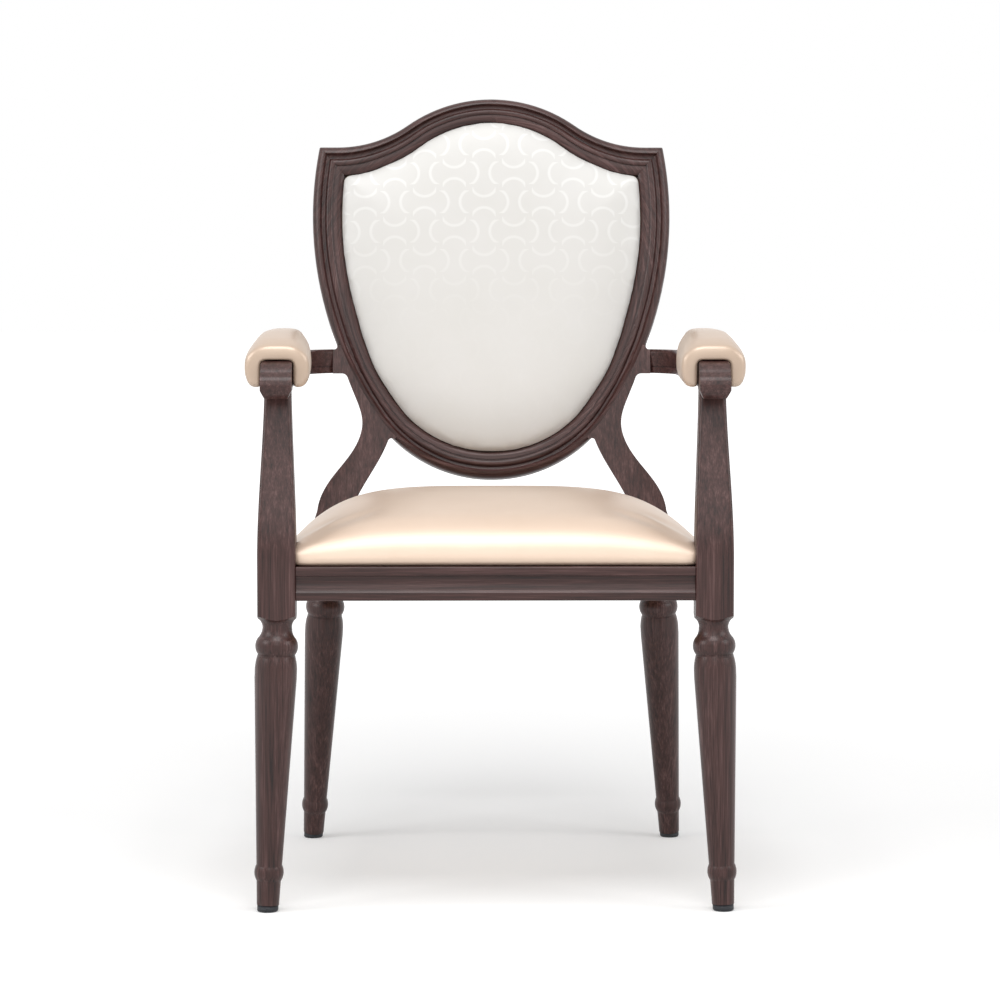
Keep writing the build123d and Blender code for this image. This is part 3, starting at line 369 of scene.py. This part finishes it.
# Share of the moulding's width that is kept at each of these degrees.
slim_stops = (
    (0, 0.91), (37, 0.86), (56, 0.83), (68, 0.90), (80, 0.97),
    (100, 0.99), (131, 1.0), (145, 0.90), (159, 0.85), (181, 0.83),
)


def slimmed(place):
    """A point of the back with the moulding drawn towards its outer edge, as slim as the photo's."""
    turn = Vector((place.x, place.y - shield_middle))
    angle = min(degrees(turn.angle(Vector((0, -1)))), 179.999)
    step = int(angle)
    outer = shield_reach[step] + (shield_reach[step + 1] - shield_reach[step]) * (angle - step)
    for (first, wide), (last, narrow) in zip(slim_stops, slim_stops[1:]):
        if first <= angle < last:
            share = (angle - first) / (last - first)
            width = wide + (narrow - wide) * share * share * (3 - 2 * share)
    drawn = turn * ((outer - (outer - turn.length) * width) / turn.length)
    return Vector((drawn.x, drawn.y + shield_middle, place.z))


path_walnut = walnut("walnut_along_bend", path="along_bend")
for node in shield_parts:
    moulding = merged_copy(node, node + "_moulding")
    for vertex in moulding.data.vertices:
        place = slimmed(on_back(vertex.co))
        vertex.co = back_foot + Vector((place.x, 0, 0)) + back_up * place.y + back_out * place.z
    eased(moulding, moulding_ease)
    bend = moulding.data.attributes.new("along_bend", "FLOAT_VECTOR", "POINT")
    for vertex in moulding.data.vertices:
        place = on_back(vertex.co)
        turn = Vector((place.x, place.y - shield_middle))
        along = turn.angle_signed(Vector((0, -1)), 0.0) * bend_radius
        bend.data[vertex.index].vector = (along, turn.length, place.z)
    moulding.data.materials.append(path_walnut)
    settle(moulding, "frame_finish", node)


# Arms: aluminium bars that curve in to the back, each with a rolled scroll over its front post.
# A thin line is pressed along both sides, and the bar is coated like the rest of the frame.
arm_ease = 0.0012
for node in ("arm_left", "arm_right"):
    arm = merged_copy(node, node + "_bar")
    eased(arm, arm_ease)
    arm.data.materials.append(along_y)
    settle(arm, "frame_finish", node)


# Brackets and screws: plates welded in the corners of the seat frame, and the screws of the boards.
# The plates are coated with the frame, and the screws keep their dull, brushed zinc.
for side in ("left", "right"):
    for end in ("front", "rear"):
        coat(f"corner_bracket_{end}_{side}", along_x)
zinc, zinc_nodes, zinc_links, zinc_shader = fresh_material("plated_screws")
zinc_shader.inputs["Metallic"].default_value = 1.0
zinc_places = zinc_nodes.new("ShaderNodeTexCoord")
brush = noise(zinc_nodes, zinc_links, zinc_places.outputs["Object"], (300.0, 1800.0), 3.0)
zinc_stops = [(0.3, (0.42, 0.42, 0.44, 1)), (0.7, (0.62, 0.62, 0.63, 1))]
zinc_links.new(ramp(zinc_nodes, zinc_links, brush, zinc_stops), zinc_shader.inputs["Base Color"])
zinc_links.new(remap(zinc_nodes, zinc_links, brush, 0.30, 0.48), zinc_shader.inputs["Roughness"])
for node in ("seat_screws", "back_screws", "arm_pad_screws"):
    coat(node, zinc)


# Boards: plywood panels inside the seat, the back and the arm pads, cut to carry the padding.
# Raw birch ply with its long grain from side to side.
plywood, ply_nodes, ply_links, ply_shader = fresh_material("birch_plywood")
ply_places = ply_nodes.new("ShaderNodeTexCoord")
ply_figure = noise(ply_nodes, ply_links, ply_places.outputs["Object"], (3.0, 90.0), 5.0)
ply_stops = [(0.3, (0.42, 0.27, 0.14, 1)), (0.7, (0.62, 0.44, 0.26, 1))]
ply_links.new(ramp(ply_nodes, ply_links, ply_figure, ply_stops), ply_shader.inputs["Base Color"])
ply_links.new(remap(ply_nodes, ply_links, ply_figure, 0.55, 0.75), ply_shader.inputs["Roughness"])
for node in ("seat_board", "back_board", "rear_board", "arm_pad_board_left", "arm_pad_board_right"):
    coat(node, plywood)


# Seat cushion: foam on the plywood board under a stretched cover of champagne pearl leather cloth.
# The cover is pulled over the edge and stapled under the board, so it is drawn in along its foot.
leather_grain = bpy.data.node_groups.new("leather_grain", "ShaderNodeTree")
socket(leather_grain, "Place", "NodeSocketVector", "INPUT")
socket(leather_grain, "Tone", "NodeSocketFloat", "OUTPUT")
socket(leather_grain, "Height", "NodeSocketFloat", "OUTPUT")
hide_nodes = leather_grain.nodes
hide_links = leather_grain.links
hide_in = hide_nodes.new("NodeGroupInput").outputs["Place"]
hide_out = hide_nodes.new("NodeGroupOutput").inputs
cells = hide_nodes.new("ShaderNodeTexVoronoi")
cells.feature = "SMOOTH_F1"
cells.inputs["Scale"].default_value = 900.0
hide_links.new(hide_in, cells.inputs["Vector"])
tone = noise(hide_nodes, hide_links, hide_in, (14.0, 14.0), 3.0)
creases = noise(hide_nodes, hide_links, hide_in, (160.0, 160.0), 4.0)
pebbles = blend_values(hide_nodes, hide_links, cells.outputs["Distance"], creases, 0.5)
hide_links.new(tone, hide_out["Tone"])
hide_links.new(pebbles, hide_out["Height"])


def pearl_leather(name, deep, pale, roughness, pearl, lacquer_and_sheen):
    """Leather cloth with a share of pearl in its lacquer, its tone drifting between two colours."""
    material, nodes, links, shader = fresh_material(name)
    shader.inputs["Metallic"].default_value = pearl
    shader.inputs["Specular IOR Level"].default_value = 0.5
    shader.inputs["Coat Weight"].default_value = lacquer_and_sheen
    shader.inputs["Coat IOR"].default_value = 1.6
    shader.inputs["Coat Roughness"].default_value = 0.34
    places = nodes.new("ShaderNodeTexCoord")
    hide = nodes.new("ShaderNodeGroup")
    hide.node_tree = leather_grain
    links.new(places.outputs["Object"], hide.inputs["Place"])
    color = ramp(nodes, links, hide.outputs["Tone"], [(0.3, (*deep, 1)), (0.7, (*pale, 1))])
    rough = remap(nodes, links, hide.outputs["Height"], roughness - 0.05, roughness + 0.07)
    links.new(color, shader.inputs["Base Color"])
    links.new(rough, shader.inputs["Roughness"])
    raise_surface(nodes, links, shader, hide.outputs["Height"], strength=0.12, distance=0.0004)
    return material


def remesh(piece, size):
    """Even quads over a closed form."""
    work_on(piece)
    voxels = piece.modifiers.new("even quads", "REMESH")
    voxels.mode = "VOXEL"
    voxels.voxel_size = size
    voxels.use_smooth_shade = True
    apply_all(piece)


swell_steps = 20


def inflate(piece, held, pressure, cap):
    """Swell a pad by a short cloth simulation: held points stay, and none moves further than the cap."""
    start = [vertex.co.copy() for vertex in piece.data.vertices]
    pins = piece.vertex_groups.new(name="held")
    pins.add([vertex.index for vertex in piece.data.vertices if held(vertex)], 1.0, "REPLACE")
    cloth = piece.modifiers.new("swell", "CLOTH")
    cloth.settings.use_pressure = True
    cloth.settings.uniform_pressure_force = pressure
    cloth.settings.vertex_group_mass = "held"
    cloth.settings.tension_stiffness = 20.0
    cloth.settings.compression_stiffness = 20.0
    cloth.settings.bending_stiffness = 2.0
    cloth.settings.effector_weights.gravity = 0.0
    for step in range(swell_steps):
        scene.frame_set(step + 1)
    apply_all(piece)
    for vertex, place in zip(piece.data.vertices, start):
        move = vertex.co - place
        if move.length > cap:
            vertex.co = place + move * (cap / move.length)
    piece.vertex_groups.clear()
    scene.frame_set(1)


def soften(piece, rounds):
    """Relax the surface, then round it with one subdivision."""
    work_on(piece)
    relax = piece.modifiers.new("relax", "SMOOTH")
    relax.factor = 0.5
    relax.iterations = rounds
    rounder = piece.modifiers.new("rounder", "SUBSURF")
    rounder.levels = 1
    rounder.render_levels = 1
    apply_all(piece)
    bpy.ops.object.shade_smooth()


def cut_room(piece, low, high):
    """Cut a square room out of a form."""
    bpy.ops.object.select_all(action="DESELECT")
    bpy.ops.mesh.primitive_cube_add(size=1.0, location=(low + high) / 2)
    room = bpy.context.object
    room.scale = high - low
    cut = piece.modifiers.new("room", "BOOLEAN")
    cut.operation = "DIFFERENCE"
    cut.object = room
    apply_all(piece)
    bpy.data.objects.remove(room)


champagne = pearl_leather(
    "champagne_leather",
    deep=(0.685, 0.525, 0.405),
    pale=(0.715, 0.555, 0.435),
    roughness=0.42,
    pearl=0.28,
    lacquer_and_sheen=0.55,
)
seat_low, seat_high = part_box("seat_cover")
seat_middle = (seat_low + seat_high) / 2
seat_half_depth = (seat_high.y - seat_low.y) / 2
seat_front_half = 0.2617
seat_rear_half = 0.2235
seat_edge = 0.010
seat_swell = 0.0016
seat_rise = seat_high.z - seat_low.z - seat_edge - seat_swell
seat_slab = 0.022
bpy.ops.object.select_all(action="DESELECT")
bpy.ops.mesh.primitive_cube_add(size=1.0, location=(0, seat_middle.y, seat_low.z + seat_slab / 2))
cushion = bpy.context.object
cushion.name = "seat_cushion"
cushion.scale = (2 * seat_front_half, 2 * seat_half_depth, seat_slab)
bpy.ops.object.transform_apply(location=True, rotation=True, scale=True)
post_inner = 0.2372
post_rear = -0.2470
strut_inner = 0.2035
strut_front = 0.1510
notch_out = 0.4
notch_front, notch_rear = -0.5, 0.5
notch_low, notch_high = 0.3, 0.6
for side in (-1, 1):
    left, right = sorted((side * post_inner, side * notch_out))
    cut_room(cushion, Vector((left, notch_front, notch_low)), Vector((right, post_rear, notch_high)))
    left, right = sorted((side * strut_inner, side * notch_out))
    cut_room(cushion, Vector((left, strut_front, notch_low)), Vector((right, notch_rear, notch_high)))
seat_quad = 0.0055
remesh(cushion, seat_quad)


def seat_half_width(y):
    """Half of the cushion's width at a place from front to rear."""
    share = (y - seat_low.y) / (seat_high.y - seat_low.y)
    return seat_front_half + (seat_rear_half - seat_front_half) * share


seat_roll = 0.050
roll_share = 0.52
notch_ease = 0.070
side_square, side_full = 4, 0.7
rear_square, rear_full = 2.6, 0.62


def strut_dip(x, y):
    """Share of the crown that is left beside a rear strut, where the cover is drawn into its notch."""
    away = Vector((max(strut_inner - abs(x), 0.0), max(strut_front - y, 0.0))).length
    return max(1 - max(1 - away / notch_ease, 0.0) ** 2, 0.0) ** 0.5


def seat_crown(across, depth):
    """Height of the crown, as a share of its rise, at shares of the half width and half depth."""
    side = max(1 - across**side_square, 0.0) ** side_full
    if depth > 0:
        return side * max(1 - depth**rear_square, 0.0) ** rear_full
    short = max(1 - (1 + depth) * seat_half_depth / seat_roll, 0.0)
    return side * (roll_share * max(1 - short**2, 0.0) ** 0.5 + (1 - roll_share) * (1 - depth**2))


foot_draw = 0.010
foot_fade = 2.2
for vertex in cushion.data.vertices:
    x, y, z = vertex.co
    lift = min(max((z - seat_low.z) / seat_slab, 0.0), 1.0)
    across = abs(x) / seat_front_half
    depth = (y - seat_middle.y) / seat_half_depth
    crown = seat_edge + seat_rise * seat_crown(across, depth) * strut_dip(x, y)
    narrow = seat_half_width(y) / seat_front_half if y > post_rear else 1.0
    draw = 1 - foot_draw * max(1 - lift * foot_fade, 0.0) ** 2
    deep = seat_middle.y + (y - seat_middle.y) * draw
    vertex.co = (x * narrow * draw, deep, seat_low.z + lift * crown)
stapled = seat_low.z + 0.003
inflate(cushion, lambda vertex: vertex.co.z < stapled, pressure=3.0, cap=seat_swell)
soften(cushion, rounds=5)
rim_height = 0.007
for vertex in cushion.data.vertices:
    lift = (vertex.co.z - seat_low.z) / rim_height
    if 0 < lift < 1:
        vertex.co.z = seat_low.z + rim_height * lift**2 * (2 - lift)
under_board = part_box("seat_board")[0].z + 0.006
turn_under = 0.045
undersides = [vertex.index for vertex in cushion.data.vertices if vertex.normal.z < -0.5]
for index in undersides:
    vertex = cushion.data.vertices[index]
    inside = abs(vertex.co.x) < seat_half_width(vertex.co.y) - turn_under
    if inside and seat_low.y + turn_under < vertex.co.y < seat_high.y - turn_under:
        vertex.co.z = under_board
cushion.data.materials.append(champagne)
settle(cushion, "upholstery", "seat_cover", "seat_foam")


# Back pad: foam on its board inside the shield, under leather cloth with a tone-on-tone trellis.
# Pairs of facing arcs, turned by a quarter from cell to cell, are printed in a glossier, paler lacquer.
# Their colour is also whitened more towards the top of the back. This is a painted sheen that stands
# for the light they catch there, and this whitening and their gloss fade towards the seat.
# A plain panel of the seat's cloth closes the back of the shield.
back_frame = Matrix.Translation(back_foot) @ Matrix((
    (1, 0, 0, 0),
    (0, back_up.y, back_out.y, 0),
    (0, back_up.z, back_out.z, 0),
    (0, 0, 0, 1),
))
shield_quad = 0.0042
shield_full = 2.2


def shield_pad(board, name, base, edge, crown, reach):
    """Pad on a board of the back: one face stays on its base, the other rises from edge to crown."""
    pad = merged_copy(board, name)
    pad.data.transform(back_frame.inverted())
    for vertex in pad.data.vertices:
        vertex.co = slimmed(vertex.co)
    depths = [vertex.co.z for vertex in pad.data.vertices]
    near, far = (min(depths), max(depths)) if crown > base else (max(depths), min(depths))
    block = 4 * shield_quad if crown > base else -4 * shield_quad
    for vertex in pad.data.vertices:
        vertex.co.z = block * (vertex.co.z - near) / (far - near)
    remesh(pad, shield_quad)
    sides = [vertex.co.copy() for vertex in pad.data.vertices if abs(vertex.normal.z) < 0.5]
    outline = KDTree(len(sides))
    for index, point in enumerate(sides):
        outline.insert((point.x, point.y, 0), index)
    outline.balance()
    for vertex in pad.data.vertices:
        inset = outline.find((vertex.co.x, vertex.co.y, 0))[2]
        lift = min(max(vertex.co.z / block, 0.0), 1.0)
        share = min(inset / reach, 1.0)
        height = edge + (crown - edge) * (1 - (1 - share) ** shield_full) ** (1 / shield_full)
        vertex.co.z = base + (height - base) * lift
    return pad


pearl_cloth = pearl_leather(
    "pearl_trellis_cloth",
    deep=(0.645, 0.635, 0.61),
    pale=(0.66, 0.65, 0.63),
    roughness=0.50,
    pearl=0.0,
    lacquer_and_sheen=0.15,
)
trellis_nodes = pearl_cloth.node_tree.nodes
trellis_links = pearl_cloth.node_tree.links


def calc(operation, first, second):
    """One step of arithmetic in the trellis cloth."""
    step = trellis_nodes.new("ShaderNodeMath")
    step.operation = operation
    for place, value in ((0, first), (1, second)):
        if isinstance(value, (int, float)):
            step.inputs[place].default_value = value
        else:
            trellis_links.new(value, step.inputs[place])
    return step.outputs[0]


trellis_pitch = 0.039
arc_radius = 0.0175
arc_set = 0.0250
arc_half = 0.0152
arc_width = 0.0042
arc_core, arc_edge = 0.15, 0.70
column_start, row_start = 99.75, 100.2
# Heights over which the arcs' painted sheen (their whitening) and their gloss fade out towards the seat.
sheen_fade_low, sheen_fade_high, sheen_fade_least = 0.70, 0.90, 0.06
arc_gloss = 0.10
# Share by which the arcs are whitened: their printed paler tone together with the painted sheen.
arc_pale_and_sheen = 0.36
cloth_place = trellis_nodes.new("ShaderNodeTexCoord").outputs["Object"]
cloth_plane = trellis_nodes.new("ShaderNodeMapping")
cloth_plane.inputs["Rotation"].default_value = (lean, 0, 0)
cloth_plane.inputs["Scale"].default_value = (1 / trellis_pitch,) * 3
trellis_links.new(cloth_place, cloth_plane.inputs["Vector"])
split = trellis_nodes.new("ShaderNodeSeparateXYZ")
trellis_links.new(cloth_plane.outputs["Vector"], split.inputs["Vector"])
column = calc("ADD", split.outputs["X"], column_start)
row = calc("ADD", split.outputs["Z"], row_start)
across = calc("ABSOLUTE", calc("SUBTRACT", calc("FRACT", column, 0), 0.5), 0)
along = calc("ABSOLUTE", calc("SUBTRACT", calc("FRACT", row, 0), 0.5), 0)
turn = calc("MODULO", calc("ADD", calc("FLOOR", column, 0), calc("FLOOR", row, 0)), 2)
upright = calc("SUBTRACT", 1, turn)
off = calc("ADD", calc("MULTIPLY", across, upright), calc("MULTIPLY", along, turn))
run = calc("ADD", calc("MULTIPLY", along, upright), calc("MULTIPLY", across, turn))
side = calc("SUBTRACT", off, arc_set / trellis_pitch)
reach = calc("SQRT", calc("ADD", calc("MULTIPLY", side, side), calc("MULTIPLY", run, run)), 0)
miss = calc("ABSOLUTE", calc("SUBTRACT", reach, arc_radius / trellis_pitch), 0)
arc = trellis_nodes.new("ShaderNodeMapRange")
arc.interpolation_type = "SMOOTHSTEP"
arc.inputs["From Min"].default_value = arc_core * arc_width / trellis_pitch
arc.inputs["From Max"].default_value = arc_edge * arc_width / trellis_pitch
arc.inputs["To Min"].default_value = 1.0
arc.inputs["To Max"].default_value = 0.0
trellis_links.new(miss, arc.inputs["Value"])
sheen_fade = trellis_nodes.new("ShaderNodeMapRange")
sheen_fade.interpolation_type = "SMOOTHSTEP"
sheen_fade.inputs["From Min"].default_value = sheen_fade_low / trellis_pitch
sheen_fade.inputs["From Max"].default_value = sheen_fade_high / trellis_pitch
sheen_fade.inputs["To Min"].default_value = sheen_fade_least
trellis_links.new(split.outputs["Z"], sheen_fade.inputs["Value"])
short = calc("LESS_THAN", run, arc_half / trellis_pitch)
arcs_and_sheen = calc("MULTIPLY", calc("MULTIPLY", arc.outputs["Result"], short), sheen_fade.outputs["Result"])
cloth_shader = trellis_nodes["Principled BSDF"]
plain_rough = cloth_shader.inputs["Roughness"].links[0].from_socket
cloth_rough = calc("SUBTRACT", plain_rough, calc("MULTIPLY", arcs_and_sheen, arc_gloss))
trellis_links.new(cloth_rough, cloth_shader.inputs["Roughness"])
plain_color = cloth_shader.inputs["Base Color"].links[0].from_socket
# The arcs' base colour is mixed towards a pale tone: partly their printed tone, partly a painted sheen
# that grows towards the top.
lacquer_and_sheen = trellis_nodes.new("ShaderNodeMix")
lacquer_and_sheen.data_type = "RGBA"
lacquer_and_sheen.inputs["B"].default_value = (0.86, 0.86, 0.85, 1)
trellis_links.new(calc("MULTIPLY", arcs_and_sheen, arc_pale_and_sheen), lacquer_and_sheen.inputs["Factor"])
trellis_links.new(plain_color, lacquer_and_sheen.inputs["A"])
trellis_links.new(lacquer_and_sheen.outputs["Result"], cloth_shader.inputs["Base Color"])

back_base = -0.009
held_depth = back_base + 0.002
back_pad = shield_pad("back_board", "back_pad", back_base, edge=-0.005, crown=0.014, reach=0.095)
inflate(back_pad, lambda vertex: vertex.co.z < held_depth, pressure=2.0, cap=0.002)
soften(back_pad, rounds=4)
back_pad.data.transform(back_frame)
back_pad.data.materials.append(pearl_cloth)
settle(back_pad, "upholstery", "back_cover", "back_foam")

rear_base = -0.021
rear_pad = shield_pad("rear_board", "rear_panel", rear_base, edge=-0.0225, crown=-0.028, reach=0.040)
soften(rear_pad, rounds=3)
rear_pad.data.transform(back_frame)
rear_pad.data.materials.append(champagne)
settle(rear_pad, "upholstery", "rear_cover")


# Arm pads: foam on a small board over each arm, wrapped in the seat's leather cloth, whose base colour
# is made darker here as painted shade.
# The cover hangs over both sides of the bar, is open round the scroll and is stapled underneath.
# The seat's leather cloth with a darker base colour: painted shade on the arm pads.
shaded_arm_leather = pearl_leather(
    "champagne_leather_painted_shade",
    deep=(0.515, 0.385, 0.285),
    pale=(0.545, 0.41, 0.31),
    roughness=0.38,
    pearl=0.22,
    lacquer_and_sheen=0.55,
)
block_quad = 0.0035
pad_quad = 0.0028
pad_spread = 0.001
pad_nose = 0.030
pad_tail = 0.034
tail_taper = 0.20
flap_taper = 0.20
bar_top = 0.649
bar_gap = 0.0004
waist_drop = 0.009
nose_slope = 0.36
slope_length = 0.110
channel = 0.0189
channel_past = 0.1
stapled_band = 0.002
side_round = 0.9
end_round = 0.8
crown_round = 0.95
nose_share = 0.55
nose_round = 0.62
nose_lip = 0.5
tail_round = 0.8


def rounded(a, b, c):
    """First coordinate of a point of a unit cube that is moved onto a unit ball."""
    return a * (1 - b * b / 2 - c * c / 2 + b * b * c * c / 3) ** 0.5


for side in ("left", "right"):
    low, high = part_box(f"arm_pad_{side}")
    middle = (low + high) / 2
    half = (high.x - low.x) / 2 + pad_spread
    bpy.ops.object.select_all(action="DESELECT")
    bpy.ops.mesh.primitive_cube_add(size=1.0, location=middle)
    pad = bpy.context.object
    pad.name = f"arm_pad_{side}_cover"
    pad.scale = (2 * half, high.y - low.y, high.z - low.z)
    bpy.ops.object.transform_apply(location=True, rotation=True, scale=True)
    remesh(pad, block_quad)
    waist = bar_top - waist_drop
    for vertex in pad.data.vertices:
        x, y, z = vertex.co
        across = (x - middle.x) / half
        rise = max((z - waist) / (high.z - waist), 0.0)
        hang = max((waist - z) / (waist - low.z), 0.0)
        nose = max((low.y + pad_nose - y) / pad_nose, 0.0)
        tail = max((y - high.y + pad_tail) / pad_tail, 0.0)
        taper = 1 - tail_taper * (y - low.y) / (high.y - low.y) - flap_taper * hang**2.5
        slope = max(1 - (y - low.y) / slope_length, 0.0)
        crown = (high.z - waist) * (1 - nose_slope * slope**2)
        end = max(nose_share * nose, tail)
        vertex.co.x = middle.x + half * taper * rounded(across, side_round * rise**1.5, end_round * end)
        if rise > 0:
            vertex.co.z = waist + crown * rounded(rise, crown_round * across**2, end)
        if nose > 0:
            front = rounded(nose, nose_round * across**2, nose_lip * rise**2)
            vertex.co.y = low.y + pad_nose * (1 - front)
        if tail > 0:
            vertex.co.y = high.y - pad_tail * (1 - rounded(tail, tail_round * across, rise))
    room_low = Vector((middle.x - channel, low.y - channel_past, low.z - channel_past))
    room_high = Vector((middle.x + channel, high.y + channel_past, bar_top + bar_gap))
    cut_room(pad, room_low, room_high)
    remesh(pad, pad_quad)
    held_half = channel + stapled_band
    inflate(pad, lambda vertex: abs(vertex.co.x - middle.x) < held_half, pressure=2.0, cap=0.0015)
    soften(pad, rounds=4)
    pad.data.materials.append(shaded_arm_leather)
    settle(pad, "upholstery", f"arm_pad_{side}")


# Studio: a plain white floor that keeps the chair's soft shadow, a white surround and four soft lamps.
# The camera stands in front of the chair, a little above the arms.
bpy.ops.object.select_all(action="DESELECT")
bpy.ops.mesh.primitive_plane_add(size=60.0, location=(0, 0, 0))
floor = bpy.context.object
floor.name = "studio_floor"
floor_paint, floor_nodes, floor_links, floor_shader = fresh_material("floor_paint")
floor_shader.inputs["Base Color"].default_value = (0.8, 0.8, 0.8, 1)
floor_shader.inputs["Roughness"].default_value = 0.9
floor_shader.inputs["Specular IOR Level"].default_value = 0.0
floor_shader.inputs["Emission Color"].default_value = (1, 1, 1, 1)


def seen_ray(nodes, links):
    """One for rays from the camera and for those that a shiny or clear surface sends on."""
    path = nodes.new("ShaderNodeLightPath")
    total = path.outputs["Is Camera Ray"]
    for kind in ("Is Glossy Ray", "Is Transmission Ray"):
        either = nodes.new("ShaderNodeMath")
        either.operation = "MAXIMUM"
        links.new(total, either.inputs[0])
        links.new(path.outputs[kind], either.inputs[1])
        total = either.outputs[0]
    return total


floor_place = floor_nodes.new("ShaderNodeTexCoord")
floor_reach = floor_nodes.new("ShaderNodeVectorMath")
floor_reach.operation = "LENGTH"
floor_links.new(floor_place.outputs["Object"], floor_reach.inputs[0])
floor_fade = floor_nodes.new("ShaderNodeMapRange")
floor_fade.interpolation_type = "SMOOTHSTEP"
floor_fade.inputs["From Min"].default_value = 0.5
floor_fade.inputs["From Max"].default_value = 4.0
floor_fade.inputs["To Min"].default_value = 0.25
floor_fade.inputs["To Max"].default_value = 0.9
floor_links.new(floor_reach.outputs["Value"], floor_fade.inputs["Value"])
floor_glow = floor_nodes.new("ShaderNodeMath")
floor_glow.operation = "MULTIPLY"
floor_links.new(seen_ray(floor_nodes, floor_links), floor_glow.inputs[0])
floor_links.new(floor_fade.outputs["Result"], floor_glow.inputs[1])
floor_links.new(floor_glow.outputs[0], floor_shader.inputs["Emission Strength"])
floor.data.materials.append(floor_paint)

world = bpy.data.worlds.new("white_surround")
scene.world = world
world.use_nodes = True
world_nodes = world.node_tree.nodes
world_links = world.node_tree.links
surround = world_nodes["Background"]
surround.inputs["Color"].default_value = (1, 1, 1, 1)
world_level = world_nodes.new("ShaderNodeMapRange")
world_level.inputs["To Min"].default_value = 0.45
world_level.inputs["To Max"].default_value = 1.0
world_links.new(seen_ray(world_nodes, world_links), world_level.inputs["Value"])
world_links.new(world_level.outputs["Result"], surround.inputs["Strength"])


def soft_lamp(name, place, aim, size, power):
    """Square soft box at a place, turned to its aim."""
    lamp = bpy.data.lights.new(name, "AREA")
    lamp.size = size
    lamp.energy = power
    holder = bpy.data.objects.new(name, lamp)
    scene.collection.objects.link(holder)
    holder.location = place
    holder.rotation_euler = (Vector(aim) - Vector(place)).to_track_quat("-Z", "Y").to_euler()


soft_lamp("top_box", (-0.1, -1.5, 3.6), (0.0, -0.1, 0.55), 1.8, 62.0)
soft_lamp("sheen_box", (0.0, -4.3, 2.5), (0.0, 0.2, 0.75), 1.9, 24.0)
soft_lamp("left_box", (-2.6, -1.2, 1.9), (0.0, 0.0, 0.6), 1.4, 28.0)
soft_lamp("right_box", (2.6, -1.2, 1.9), (0.0, 0.0, 0.6), 1.4, 23.0)

camera_data = bpy.data.cameras.new("photo_camera")
camera_data.sensor_width = 36.0
camera_data.lens = 123.12
camera = bpy.data.objects.new("photo_camera", camera_data)
scene.collection.objects.link(camera)
camera_dip = 4.084
camera_turn = -0.69
camera.location = (-0.043, -4.272 + centred, 0.7712)
camera.rotation_euler = (radians(90 - camera_dip), 0, radians(camera_turn))
scene.camera = camera
scene.view_settings.view_transform = "Standard"
